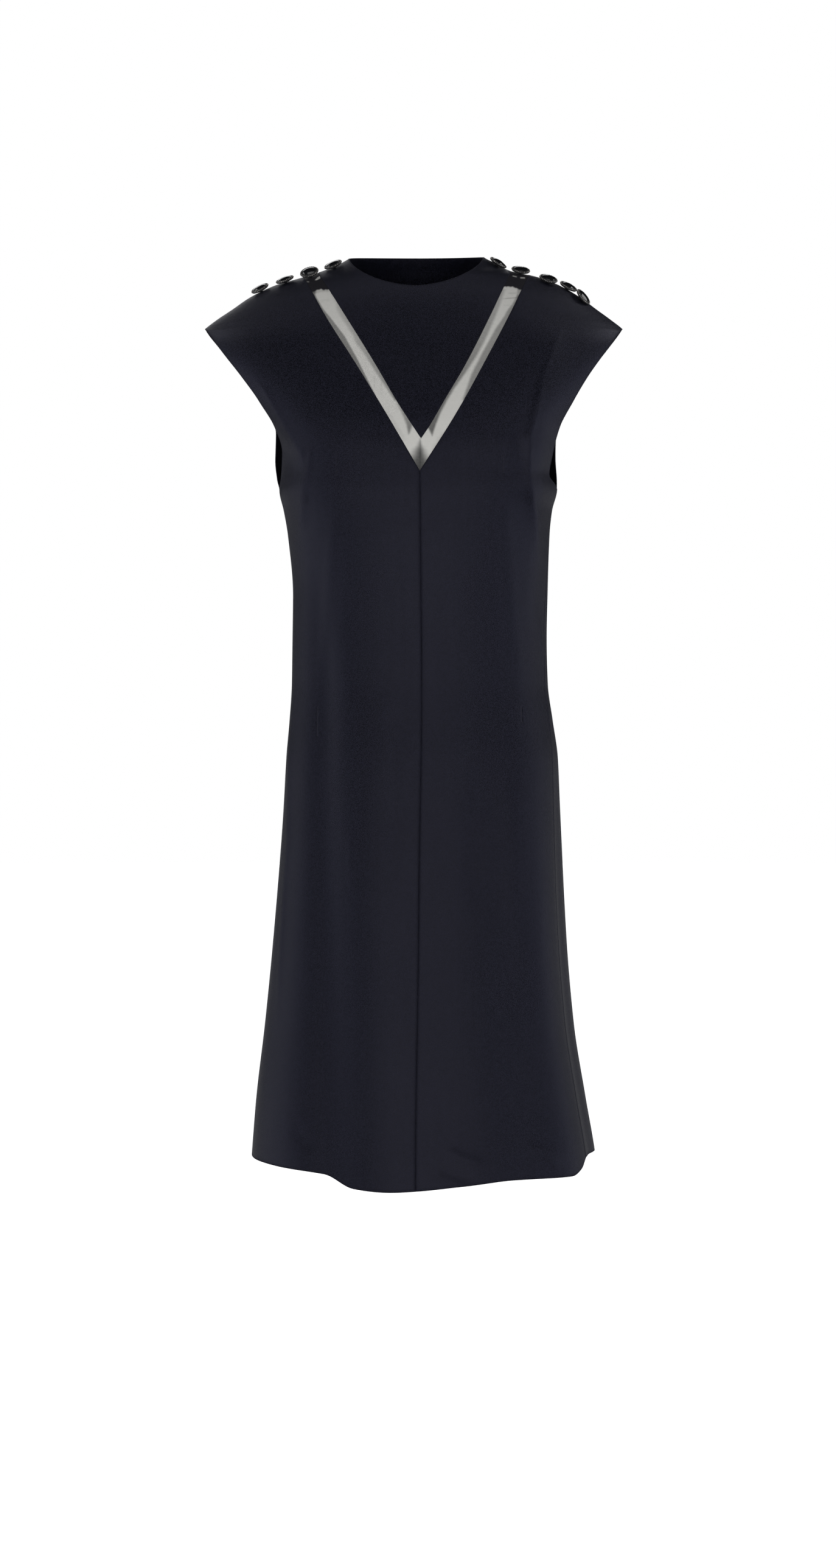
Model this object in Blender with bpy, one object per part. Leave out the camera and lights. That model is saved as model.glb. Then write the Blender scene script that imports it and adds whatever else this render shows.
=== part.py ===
"""Shift dress with cap sleeves, a bib set between two sheer bands that meet in a V, and buttoned shoulders.

The dress keeps the hollow form it has when worn. Its outer face is one surface, worked out ring by ring
from the tables below, and each piece is a thin wall cut from that surface along its seams. A place on the
surface is an angle, from the centre front (0) round by the right side (90 degrees) to the centre back (180),
and a height.

+X is the right side as seen from the front, the front faces -Y and +Z is up. The origin lies midway between
the two neck points, where the wearer's shoulders hold the dress. The tables are in millimetres.
"""

import bpy
import bmesh
import numpy as np
from mathutils import Matrix, Vector

MM = 0.001

# Cloth and seams
CREPE_THICKNESS = 1.2
SHEER_THICKNESS = 1.0
STAND_THICKNESS = 1.0
SEAM_PULL = 0.17
SHOULDER_PULL = 0.3
MITRE_PULL = 0.32
POINT_PULL = 0.4
STAND_GAP = 1.1

# Main heights and points
TIP_HEIGHT = -82.5
UNDERARM_HEIGHT = -268.0
V_TIP_HEIGHT = -254.7
NECK_LEFT = (-79.0, -1.0)
NECK_RIGHT = (75.5, 1.5)
NECKLINE_DROP = 40.0
NECKLINE_SQUARE = 1.75
BACK_NECK_RISE = 7.0

# Grid sizes of the pieces
ROWS_SKIRT = 24
ROWS_CHEST = 16
SHOULDER_CROWDING = 0.6
BIB_EDGE_FADE = 3.0
COLUMNS_FRONT = 13
COLUMNS_NECK = 5
COLUMNS_SHOULDER = 11
COLUMNS_BIB = 14
COLUMNS_BAND = 3
COLUMNS_STAND = 14
ROWS_STAND = 3

# Rings of the body and the shoulders: how far each reaches to the left, right, front and back, and how square
# it is across the front and back (flat) and at the sides (blunt, where less than 2 gives a ridge at the seam)
RING_COLUMNS = ("height", "left", "right", "front", "back", "flat", "blunt")
SHOULDER_RINGS = (
    (24.0, 58.0, 54.0, 14.0, 46.0, 2.0, 1.9),
    (8.0, 72.0, 68.0, 29.0, 57.0, 2.0, 1.9),
    (-1.0, 79.0, 77.5, 36.0, 62.0, 2.0, 1.9),
    (-6.0, 87.0, 87.5, 40.0, 65.0, 2.0, 1.9),
    (-15.0, 107.0, 104.0, 47.0, 69.0, 2.05, 1.9),
    (-24.0, 135.0, 141.0, 54.0, 73.0, 2.1, 1.85),
    (-32.5, 164.5, 163.0, 60.0, 76.0, 2.1, 1.8),
    (-46.0, 193.0, 186.5, 69.0, 80.0, 2.15, 1.75),
    (-60.0, 213.5, 205.5, 76.0, 84.0, 2.2, 1.7),
    (-72.0, 231.5, 222.0, 81.0, 87.0, 2.25, 1.65),
)
BODY_RINGS = (
    (-292.0, 154.0, 153.8, 121.0, 103.0, 2.3, 2.3),
    (-320.0, 149.3, 151.0, 119.5, 100.0, 2.3, 2.3),
    (-390.0, 143.3, 148.8, 114.0, 94.0, 2.3, 2.3),
    (-440.0, 143.6, 147.8, 111.0, 92.0, 2.3, 2.3),
    (-490.0, 144.0, 148.8, 110.0, 94.0, 2.3, 2.3),
    (-530.0, 146.2, 154.2, 111.0, 100.0, 2.3, 2.3),
    (-575.0, 150.0, 160.3, 113.0, 107.0, 2.3, 2.3),
    (-640.0, 154.0, 162.6, 115.0, 113.0, 2.3, 2.3),
    (-768.0, 164.5, 167.6, 120.0, 119.0, 2.25, 2.25),
    (-880.0, 175.6, 176.6, 127.0, 125.0, 2.2, 2.2),
    (-964.0, 185.6, 189.8, 133.0, 131.0, 2.2, 2.2),
    (-1030.0, 191.0, 201.0, 139.0, 136.0, 2.2, 2.2),
    (-1075.0, 194.5, 206.0, 143.0, 140.0, 2.2, 2.2),
)

# Depths of the chest between the sleeve tips and the underarms, where the armhole tables give the widths
CHEST_COLUMNS = ("height", "front", "back", "flat", "blunt")
CHEST_RINGS = (
    (-82.5, 85.0, 90.0, 2.3, 1.65),
    (-98.0, 90.5, 94.0, 2.3, 1.9),
    (-115.0, 96.0, 98.0, 2.3, 2.1),
    (-145.0, 106.0, 103.0, 2.3, 2.3),
    (-175.0, 114.0, 106.0, 2.3, 2.3),
    (-200.0, 119.0, 107.0, 2.3, 2.3),
    (-230.0, 121.5, 106.0, 2.3, 2.3),
    (-268.0, 122.0, 104.5, 2.3, 2.3),
)

# Edges of the sleeve openings: how far out each point lies, and how far in front of or behind the side plane
ARMHOLE_COLUMNS = ("height", "left", "right", "left_depth", "right_depth")
FRONT_ARMHOLE = (
    (-82.5, 245.0, 235.2, 0.0, 0.0),
    (-88.0, 241.2, 231.2, 20.0, 20.0),
    (-99.4, 232.9, 223.1, 33.0, 33.0),
    (-114.5, 221.9, 212.2, 43.0, 43.0),
    (-143.5, 198.5, 190.9, 54.0, 54.0),
    (-171.7, 176.8, 172.7, 59.0, 59.0),
    (-199.3, 160.4, 157.5, 60.0, 61.0),
    (-229.5, 153.0, 150.0, 48.0, 60.0),
    (-254.5, 155.5, 146.5, 31.0, 56.0),
    (-264.0, 158.0, 156.0, 17.0, 34.0),
    (-268.0, 159.0, 159.6, 0.0, 0.0),
)
BACK_ARMHOLE = (
    (-82.5, 245.0, 235.2, 0.0, 0.0),
    (-88.0, 241.2, 231.2, 19.0, 19.0),
    (-99.4, 231.5, 222.0, 32.0, 32.0),
    (-114.5, 219.2, 209.8, 42.0, 42.0),
    (-143.5, 194.0, 188.0, 52.0, 52.0),
    (-171.7, 173.8, 170.6, 53.0, 53.0),
    (-199.3, 165.0, 160.5, 42.0, 42.0),
    (-229.5, 165.3, 159.3, 27.0, 27.0),
    (-254.5, 162.6, 160.3, 15.0, 15.0),
    (-264.0, 160.0, 160.0, 8.0, 8.0),
    (-268.0, 159.0, 159.6, 0.0, 0.0),
)

# Edges of the sheer bands, as distances from the middle plane
EDGE_COLUMNS = ("height", "left", "right")
OUTER_EDGE = (
    (-24.0, -131.5, 126.5),
    (-76.0, -104.5, 102.5),
    (-133.0, -69.5, 73.5),
    (-190.0, -35.5, 42.5),
    (-254.7, 2.0, 2.0),
)
INNER_EDGE = (
    (-22.0, -114.0, 105.5),
    (-76.0, -82.0, 81.5),
    (-133.0, -48.0, 53.5),
    (-176.0, -23.7, 28.9),
    (-204.0, -6.0, 13.0),
    (-218.3, 3.4, 3.4),
)

# The centre front seam's sideways wander
CENTRE_COLUMNS = ("height", "across")
CENTRE_SEAM = (
    (-254.7, 2.0),
    (-516.0, 4.0),
    (-690.0, 1.4),
    (-830.0, 0.0),
    (-1000.0, -2.7),
    (-1075.0, -3.0),
)

# Where the side seams lie round the ring, in degrees from the centre front
SIDE_COLUMNS = ("height", "left", "right")
SIDE_SEAM = (
    (-268.0, 90.0, 90.0),
    (-330.0, 90.0, 82.0),
    (-430.0, 90.0, 75.0),
    (-700.0, 90.0, 71.0),
    (-1075.0, 90.0, 71.0),
)

# The hem's height round the ring, in degrees from the centre front by the right side
HEM_COLUMNS = ("angle", "height")
HEM = (
    (-90.0, -1029.0),
    (-55.0, -1036.0),
    (-32.0, -1042.0),
    (-20.0, -1057.0),
    (-8.0, -1060.0),
    (12.0, -1054.0),
    (30.0, -1048.5),
    (56.0, -1047.5),
    (64.0, -1041.0),
    (72.0, -1029.5),
    (90.0, -1027.0),
    (120.0, -1036.0),
    (150.0, -1046.0),
    (185.0, -1040.0),
    (220.0, -1047.0),
    (248.0, -1036.0),
    (270.0, -1029.0),
)

# Soft folds and swells: each runs from a head to a foot, stands out by its rise (a trough when negative) and
# fades over its spread, in degrees, and over its run-outs above and below. The first two are the bust.
FOLD_COLUMNS = ("head_angle", "head", "foot_angle", "foot", "spread", "rise", "fade_head", "fade_foot")
FOLDS = (
    (-50.0, -195.0, -47.0, -215.0, 24.0, 7.0, 60.0, 80.0),
    (50.0, -195.0, 47.0, -215.0, 24.0, 7.0, 60.0, 80.0),
    (36.0, -125.0, 55.0, -290.0, 9.0, 3.5, 50.0, 70.0),
    (-44.0, -540.0, -28.0, -1060.0, 10.0, -6.0, 160.0, 60.0),
    (-12.0, -760.0, -6.0, -1060.0, 12.0, 4.0, 200.0, 60.0),
    (-76.0, -500.0, -74.0, -900.0, 9.0, 2.5, 120.0, 120.0),
    (30.0, -700.0, 34.0, -1060.0, 12.0, -3.0, 200.0, 60.0),
    (54.0, -820.0, 56.0, -1060.0, 11.0, 4.0, 200.0, 60.0),
    (78.0, -760.0, 80.0, -1060.0, 7.0, -3.0, 180.0, 60.0),
    (102.0, -780.0, 100.0, -1060.0, 12.0, 5.0, 200.0, 60.0),
    (140.0, -170.0, 146.0, -300.0, 18.0, 4.0, 70.0, 90.0),
    (220.0, -170.0, 214.0, -300.0, 18.0, 4.0, 70.0, 90.0),
    (150.0, -720.0, 148.0, -1060.0, 11.0, 5.0, 200.0, 60.0),
    (176.0, -700.0, 172.0, -1060.0, 12.0, -5.0, 200.0, 60.0),
    (206.0, -740.0, 210.0, -1060.0, 12.0, 5.0, 200.0, 60.0),
    (240.0, -800.0, 238.0, -1060.0, 11.0, -4.0, 180.0, 60.0),
)

# Button stand under the front's shoulder edge: its reach along the shoulder and across the seam
STAND_REACH = (87.0, 216.0)
STAND_FRONT = -19.0
STAND_BACK = 4.0

# Buttons on the shoulder lines: distance from the middle, distance in front of the seam, how far each is
# lifted off the cloth, and how many degrees it leans forward and slopes down to the right
BUTTON_COLUMNS = ("across", "forward", "lift", "lean", "slope")
LEFT_BUTTONS = (
    (-179.8, 6.0, 0.9, 22.0, -27.0),
    (-151.4, 17.0, 0.6, 19.0, -20.0),
    (-123.3, 19.0, 1.95, 37.0, -16.0),
    (-96.0, 16.0, 0.65, 23.0, -23.0),
)
RIGHT_BUTTONS = (
    (90.1, 14.0, 0.65, 17.0, 33.0),
    (117.1, 18.0, 1.05, 26.0, 9.0),
    (148.4, 18.0, 0.8, 28.0, 16.0),
    (171.0, 6.0, 0.9, 22.0, 28.0),
    (186.3, 14.0, 1.3, 23.0, 52.0),
)
BUTTON_SIDES = 20
BUTTON_PROFILE_COLUMNS = ("radius", "height")
BUTTON_PROFILE = (
    (2.4, 0.0),
    (2.6, 0.7),
    (7.5, 1.0),
    (10.2, 2.0),
    (11.0, 3.1),
    (10.5, 4.2),
    (8.8, 4.7),
    (4.5, 5.3),
)
BUTTON_CROWN = 5.5

# Colours, roughness and metallic values
CREPE = ("crepe", (0.0065, 0.0066, 0.0100, 1.0), 0.85)
ORGANZA = ("organza", (0.060, 0.060, 0.064, 1.0), 0.70)
GLASS = ("black_glass", (0.004, 0.004, 0.004, 1.0), 0.12)


def column(table, names, name):
    """One named column of a table, as an array."""
    place = names.index(name)
    return np.array([row[place] for row in table], dtype=float)


def smooth(at, knots, values):
    """A cubic through the values at rising knots, with no overshoot between two of them."""
    run = np.diff(knots)
    rise = np.diff(values) / run
    product = rise[:-1] * rise[1:]
    total = rise[:-1] + rise[1:]
    inner = np.where(product > 0.0, 2.0 * product / np.where(total == 0.0, 1.0, total), 0.0)
    slope = np.concatenate(([rise[0]], inner, [rise[-1]]))
    at = np.clip(at, knots[0], knots[-1])
    place = np.clip(np.searchsorted(knots, at, side="right") - 1, 0, len(run) - 1)
    step = run[place]
    part = (at - knots[place]) / step
    ease = part * part * (3.0 - 2.0 * part)
    leaving = slope[place] * part * (1.0 - part) ** 2 * step
    arriving = slope[place + 1] * part * part * (1.0 - part) * step
    return values[place] * (1.0 - ease) + values[place + 1] * ease + leaving - arriving


class Curve:
    """A smooth curve through one column of a table, read at any height or angle."""

    def __init__(self, knots, values):
        order = np.argsort(knots)
        self.knots = np.asarray(knots, dtype=float)[order]
        self.values = np.asarray(values, dtype=float)[order]

    def __call__(self, at):
        return smooth(np.asarray(at, dtype=float), self.knots, self.values)


def table_curve(table, names, name):
    """The curve of one named column against the table's first column."""
    return Curve(column(table, names, names[0]), column(table, names, name))


def depth_curve(name):
    """Depth or squareness of the rings, over the whole height of the dress."""
    heights = [column(SHOULDER_RINGS, RING_COLUMNS, "height"),
               column(CHEST_RINGS, CHEST_COLUMNS, "height"),
               column(BODY_RINGS, RING_COLUMNS, "height")]
    values = [column(SHOULDER_RINGS, RING_COLUMNS, name),
              column(CHEST_RINGS, CHEST_COLUMNS, name),
              column(BODY_RINGS, RING_COLUMNS, name)]
    return Curve(np.concatenate(heights), np.concatenate(values))


FRONT_DEPTH = depth_curve("front")
BACK_DEPTH = depth_curve("back")
FLAT = depth_curve("flat")
BLUNT = depth_curve("blunt")


def width_curve(side, armhole, depth):
    """Half-width of the rings on one side, for the front or the back.

    Beside a sleeve opening the ring is as wide as it must be to pass through the opening's edge.
    """
    height = column(armhole, ARMHOLE_COLUMNS, "height")
    edge = column(armhole, ARMHOLE_COLUMNS, side)
    off_plane = column(armhole, ARMHOLE_COLUMNS, side + "_depth")
    width = edge / (1.0 - (off_plane / depth(height)) ** BLUNT(height)) ** (1.0 / FLAT(height))
    heights = np.concatenate((column(SHOULDER_RINGS, RING_COLUMNS, "height"), height,
                              column(BODY_RINGS, RING_COLUMNS, "height")))
    widths = np.concatenate((column(SHOULDER_RINGS, RING_COLUMNS, side), width,
                             column(BODY_RINGS, RING_COLUMNS, side)))
    return Curve(heights, widths)


WIDTHS = {
    ("left", "front"): width_curve("left", FRONT_ARMHOLE, FRONT_DEPTH),
    ("right", "front"): width_curve("right", FRONT_ARMHOLE, FRONT_DEPTH),
    ("left", "back"): width_curve("left", BACK_ARMHOLE, BACK_DEPTH),
    ("right", "back"): width_curve("right", BACK_ARMHOLE, BACK_DEPTH),
}
SIGN = {"left": -1.0, "right": 1.0}


def half_width(angle, height):
    """Half-width of the ring at a height, on the side and face where an angle lies."""
    on_right = np.sin(angle) >= 0.0
    on_front = np.cos(angle) >= 0.0
    front = np.where(on_right, WIDTHS["right", "front"](height), WIDTHS["left", "front"](height))
    back = np.where(on_right, WIDTHS["right", "back"](height), WIDTHS["left", "back"](height))
    return np.where(on_front, front, back)


def folds(angle, height):
    """How far the folds stand out from the smooth rings."""
    total = np.zeros(np.broadcast(angle, height).shape)
    degrees = np.degrees(angle)
    for row in FOLDS:
        fold = dict(zip(FOLD_COLUMNS, row))
        part = np.clip((fold["head"] - height) / (fold["head"] - fold["foot"]), -0.3, 1.2)
        line = fold["head_angle"] + (fold["foot_angle"] - fold["head_angle"]) * part
        away = (degrees - line + 180.0) % 360.0 - 180.0
        over = np.maximum(height - fold["head"], 0.0) / fold["fade_head"]
        under = np.maximum(fold["foot"] - height, 0.0) / fold["fade_foot"]
        total += fold["rise"] * np.exp(-(away / fold["spread"]) ** 2 - over ** 2 - under ** 2)
    return total


def skin(angle, height):
    """Points of the dress's outer face, in millimetres."""
    angle, height = np.broadcast_arrays(np.asarray(angle, float), np.asarray(height, float))
    sine = np.sin(angle)
    cosine = np.cos(angle)
    width = half_width(angle, height)
    depth = np.where(cosine >= 0.0, FRONT_DEPTH(height), BACK_DEPTH(height))
    across = np.sign(sine) * width * np.abs(sine) ** (2.0 / FLAT(height))
    along = -np.sign(cosine) * depth * np.abs(cosine) ** (2.0 / BLUNT(height))
    out = np.stack((across / width ** 2, along / depth ** 2), axis=-1)
    out /= np.linalg.norm(out, axis=-1, keepdims=True)
    rise = folds(angle, height)
    return np.stack((across + out[..., 0] * rise, along + out[..., 1] * rise, height), axis=-1)


def facing(angle, height):
    """Unit vectors that point out of the dress's outer face."""
    turn = 0.004
    lift = 0.8
    round_ring = skin(angle + turn, height) - skin(angle - turn, height)
    up = skin(angle, height + lift) - skin(angle, height - lift)
    out = np.cross(round_ring, up)
    return out / np.linalg.norm(out, axis=-1, keepdims=True)


def front_angle(across, height):
    """Angle of the front's point that lies a given distance across, at a height."""
    across = np.asarray(across, float)
    height = np.asarray(height, float)
    width = np.where(across >= 0.0, WIDTHS["right", "front"](height), WIDTHS["left", "front"](height))
    part = np.clip(np.abs(across) / width, 0.0, 1.0)
    return np.sign(across) * np.arcsin(part ** (FLAT(height) / 2.0))


def ridge_height(across):
    """Height of the shoulder seam at a distance across."""
    side = "right" if across >= 0.0 else "left"
    heights = np.linspace(TIP_HEIGHT, 20.0, 400)
    widths = WIDTHS[side, "front"](heights)
    return float(np.interp(-abs(across), -widths, heights))


def spaced(line, count, crowding=0.0):
    """Resample a line of (angle, height) places by its length on the surface, crowding points to its end."""
    points = skin(line[:, 0], line[:, 1])
    reach = np.concatenate(([0.0], np.cumsum(np.linalg.norm(np.diff(points, axis=0), axis=1))))
    part = np.linspace(0.0, 1.0, count)
    want = reach[-1] * (part + crowding * part * (1.0 - part))
    return np.stack((np.interp(want, reach, line[:, 0]), np.interp(want, reach, line[:, 1])), axis=-1)


def armhole_line(side, face, count):
    """Edge of a sleeve opening from the underarm up to the sleeve's tip."""
    table = FRONT_ARMHOLE if face == "front" else BACK_ARMHOLE
    height = np.linspace(UNDERARM_HEIGHT, TIP_HEIGHT, 300)
    depth = FRONT_DEPTH(height) if face == "front" else BACK_DEPTH(height)
    out = table_curve(table, ARMHOLE_COLUMNS, side)(height)
    width = WIDTHS[side, face](height)
    part = np.clip(out / width, 0.0, 1.0)
    from_front = np.arcsin(part ** (FLAT(height) / 2.0))
    off_plane = depth * np.cos(from_front) ** (2.0 / BLUNT(height))
    from_front = np.where(off_plane < 0.05, np.pi / 2.0, from_front)
    angle = from_front if face == "front" else np.pi - from_front
    angle[0] = angle[-1] = np.pi / 2.0
    return spaced(np.stack((SIGN[side] * angle, height), axis=-1), count, SHOULDER_CROWDING)


def shoulder_line(side, start, count):
    """Shoulder seam from a distance across, out to the sleeve's tip."""
    height = np.linspace(ridge_height(start), TIP_HEIGHT, 200)
    angle = np.full_like(height, SIGN[side] * np.pi / 2.0)
    return spaced(np.stack((angle, height), axis=-1), count)


def band_line(table, side, count):
    """Edge of a sheer band from its lower end up to the shoulder seam."""
    across = table_curve(table, EDGE_COLUMNS, side)
    highest = 0.0
    for _ in range(30):
        highest = ridge_height(float(across(highest)))
    height = np.linspace(table[-1][0], highest, 400)
    angle = front_angle(across(height), height)
    angle[-1] = SIGN[side] * np.pi / 2.0
    return spaced(np.stack((angle, height), axis=-1), count, SHOULDER_CROWDING)


def straight_line(start, end, count):
    """Places on the front's face along a straight line between two places."""
    return places_under(np.linspace(skin(*start), skin(*end), count), "front")


def neckline(count):
    """Scooped front neckline from the left neck point to the right one."""
    turn = np.linspace(0.0, np.pi, 300)
    middle = (NECK_LEFT[0] + NECK_RIGHT[0]) / 2.0
    half = (NECK_RIGHT[0] - NECK_LEFT[0]) / 2.0
    power = 2.0 / NECKLINE_SQUARE
    across = middle - half * np.sign(np.cos(turn)) * np.abs(np.cos(turn)) ** power
    level = np.interp(across, (NECK_LEFT[0], NECK_RIGHT[0]), (NECK_LEFT[1], NECK_RIGHT[1]))
    height = level - NECKLINE_DROP * np.sin(turn) ** power
    angle = front_angle(across, height)
    angle[0] = -np.pi / 2.0
    angle[-1] = np.pi / 2.0
    height[0] = ridge_height(NECK_LEFT[0])
    height[-1] = ridge_height(NECK_RIGHT[0])
    return spaced(np.stack((angle, height), axis=-1), count)


def fill(bottom, top, inner, outer, fade):
    """Points inside four edges: rows rise from bottom to top, columns run from the inner to the outer edge.

    The points lie straight between bottom and top, and bend to the inner and outer edges as they near them.
    """
    u = np.linspace(0.0, 1.0, len(bottom))[None, :, None]
    v = np.linspace(0.0, 1.0, len(inner))[:, None, None]
    straight = (1.0 - v) * bottom[None] + v * top[None]
    to_inner = inner[:, None] - straight[:, :1]
    to_outer = outer[:, None] - straight[:, -1:]
    return straight + (1.0 - u) ** fade * to_inner + u ** fade * to_outer


def places_under(points, face):
    """Places on the skin's front or back that lie level with points near it."""
    across, along, height = np.moveaxis(points, -1, 0)
    width = np.where(across >= 0.0, WIDTHS["right", face](height), WIDTHS["left", face](height))
    over_side = (np.abs(across) / width) ** (FLAT(height) / 2.0)
    power = BLUNT(height) / 2.0
    if face == "front":
        over_face = (np.maximum(-along, 0.0) / FRONT_DEPTH(height)) ** power
        turn = np.arctan2(over_side, over_face)
    else:
        over_face = (np.maximum(along, 0.0) / BACK_DEPTH(height)) ** power
        turn = np.pi - np.arctan2(over_side, over_face)
    return np.stack((np.sign(across) * turn, height), axis=-1)


def patch(bottom, top, inner, outer, face, fade=1.0):
    """Places inside four edges of places, spread evenly over the skin and exact along the edges."""
    edges = [skin(edge[:, 0], edge[:, 1]) for edge in (bottom, top, inner, outer)]
    places = places_under(fill(*edges, fade), face)
    places[:, 0] = inner
    places[:, -1] = outer
    places[0] = bottom
    places[-1] = top
    return places


def pull(points, edge, distance):
    """Draw one edge of a grid of points back along the grid, to leave a seam's gap."""
    border = {"bottom": np.s_[0], "top": np.s_[-1], "first": np.s_[:, 0], "last": np.s_[:, -1]}[edge]
    inside = {"bottom": np.s_[1], "top": np.s_[-2], "first": np.s_[:, 1], "last": np.s_[:, -2]}[edge]
    step = points[inside] - points[border]
    reach = np.linalg.norm(step, axis=-1, keepdims=True)
    points[border] += step * distance / np.maximum(reach, 2.0 * distance)


def wall_mesh(name, places, thickness, sunk=0.0, pulls=()):
    """A closed wall whose outer face follows the dress's face, sunk below it, over a grid of places."""
    out = facing(places[..., 0], places[..., 1])
    outer = skin(places[..., 0], places[..., 1]) - out * sunk
    for edge, distance in pulls:
        pull(outer, edge, distance)
    inner = outer - out * thickness
    rows, columns = places.shape[:2]
    index = np.arange(rows * columns).reshape(rows, columns)
    under = index + rows * columns
    quads = np.stack((index[:-1, :-1], index[:-1, 1:], index[1:, 1:], index[1:, :-1]), axis=-1).reshape(-1, 4)
    rim = np.concatenate((index[0, :-1], index[:-1, -1], index[-1, :0:-1], index[:0:-1, 0]))
    ahead = np.roll(rim, -1)
    edges = np.stack((ahead, rim, rim + rows * columns, ahead + rows * columns), axis=-1)
    backs = np.stack((under[:-1, :-1], under[1:, :-1], under[1:, 1:], under[:-1, 1:]), axis=-1).reshape(-1, 4)
    mesh = bpy.data.meshes.new(name)
    points = np.concatenate((outer.reshape(-1, 3), inner.reshape(-1, 3))) * MM
    mesh.from_pydata(points.tolist(), [], np.concatenate((quads, backs, edges)).tolist())
    tidy(mesh)
    return mesh


def tidy(mesh):
    """Merge points that coincide and turn every face outward."""
    work = bmesh.new()
    work.from_mesh(mesh)
    bmesh.ops.remove_doubles(work, verts=work.verts, dist=1e-6)
    bmesh.ops.recalc_face_normals(work, faces=work.faces)
    work.to_mesh(mesh)
    work.free()
    mesh.shade_smooth()
    mesh.set_sharp_from_angle(angle=np.radians(40.0))


def finish(name, mesh, material, empty):
    """Put a mesh in the scene as a named object with its own material, under the dress's empty."""
    label, colour, roughness = material
    mesh.materials.append(make_material(name + "_" + label, colour, roughness))
    piece = bpy.data.objects.new(name, mesh)
    piece.parent = empty
    bpy.context.collection.objects.link(piece)
    return piece


def make_material(label, colour, roughness):
    """A Principled material of one colour."""
    material = bpy.data.materials.new(label)
    material.use_nodes = True
    shader = material.node_tree.nodes["Principled BSDF"]
    shader.inputs["Base Color"].default_value = colour
    shader.inputs["Roughness"].default_value = roughness
    shader.inputs["Metallic"].default_value = 0.0
    material.diffuse_color = colour
    return material


def hem_height(angle):
    """Height of the hem at an angle."""
    return table_curve(HEM, HEM_COLUMNS, "height")((np.degrees(angle) + 90.0) % 360.0 - 90.0)


def skirt_grid(first_angle, last_angle, first_top, last_top, columns):
    """Places from the hem up to the chest, between two seams that are functions of height."""
    u = np.linspace(0.0, 1.0, columns)
    v = np.linspace(0.0, 1.0, ROWS_SKIRT + 1)[:, None]
    top = first_top + (last_top - first_top) * u
    foot_angle = first_angle(-1040.0) + (last_angle(-1040.0) - first_angle(-1040.0)) * u
    height = hem_height(foot_angle) * (1.0 - v) + top * v
    angle = first_angle(height) + (last_angle(height) - first_angle(height)) * u
    return np.stack((angle, height), axis=-1)


def front_grid(side):
    """Places of one front with its cap sleeve, from the centre front seam and the V out to the side."""
    sign = SIGN[side]
    centre = table_curve(CENTRE_SEAM, CENTRE_COLUMNS, "across")
    seam = table_curve(SIDE_SEAM, SIDE_COLUMNS, side)
    lower = skirt_grid(lambda height: front_angle(centre(height), height),
                       lambda height: sign * np.radians(seam(height)),
                       V_TIP_HEIGHT, UNDERARM_HEIGHT, COLUMNS_FRONT + 1)
    inner = band_line(OUTER_EDGE, side, ROWS_CHEST + 1)
    outer = armhole_line(side, "front", ROWS_CHEST + 1)
    start = abs(float(skin(*inner[-1])[0]))
    top = shoulder_line(side, sign * start, COLUMNS_FRONT + 1)
    upper = patch(lower[-1], top, inner, outer, "front")
    return np.concatenate((lower, upper[1:]))


def build_fronts(empty):
    """The two fronts, sewn together down the centre."""
    for side in ("left", "right"):
        pulls = (("top", SHOULDER_PULL), ("first", SEAM_PULL), ("last", SEAM_PULL))
        mesh = wall_mesh("front_" + side, front_grid(side), CREPE_THICKNESS, pulls=pulls)
        finish("front_" + side, mesh, CREPE, empty)


def back_half(side):
    """Places of one half of the back, from the centre back out to the side, sleeve included."""
    sign = SIGN[side]
    seam = table_curve(SIDE_SEAM, SIDE_COLUMNS, side)
    lower = skirt_grid(lambda height: sign * np.pi + 0.0 * np.asarray(height),
                       lambda height: sign * np.radians(seam(height)),
                       V_TIP_HEIGHT, UNDERARM_HEIGHT, COLUMNS_NECK + COLUMNS_SHOULDER + 1)
    neck = NECK_LEFT if side == "left" else NECK_RIGHT
    neck_height = ridge_height(neck[0])
    turn = np.linspace(0.0, 1.0, 60)
    neck_curve = np.stack((sign * np.pi * (1.0 - 0.5 * turn),
                           BACK_NECK_RISE + (neck_height - BACK_NECK_RISE) * turn ** 2), axis=-1)
    shoulder = shoulder_line(side, neck[0], COLUMNS_SHOULDER + 1)
    top = np.concatenate((spaced(neck_curve, COLUMNS_NECK + 1), shoulder[1:]))
    centre_height = np.linspace(V_TIP_HEIGHT, BACK_NECK_RISE, 200)
    inner = np.stack((np.full_like(centre_height, sign * np.pi), centre_height), axis=-1)
    inner = spaced(inner, ROWS_CHEST + 1, SHOULDER_CROWDING)
    outer = armhole_line(side, "back", ROWS_CHEST + 1)
    upper = patch(lower[-1], top, inner, outer, "back")
    return np.concatenate((lower, upper[1:]))


def build_back(empty):
    """The back, in one piece with the backs of both sleeves."""
    left = back_half("left")
    left[..., 0] += 2.0 * np.pi
    places = np.concatenate((back_half("right")[:, ::-1], left[:, 1:]), axis=1)
    pulls = (("top", SHOULDER_PULL), ("first", SEAM_PULL), ("last", SEAM_PULL))
    finish("back", wall_mesh("back", places, CREPE_THICKNESS, pulls=pulls), CREPE, empty)


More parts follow.
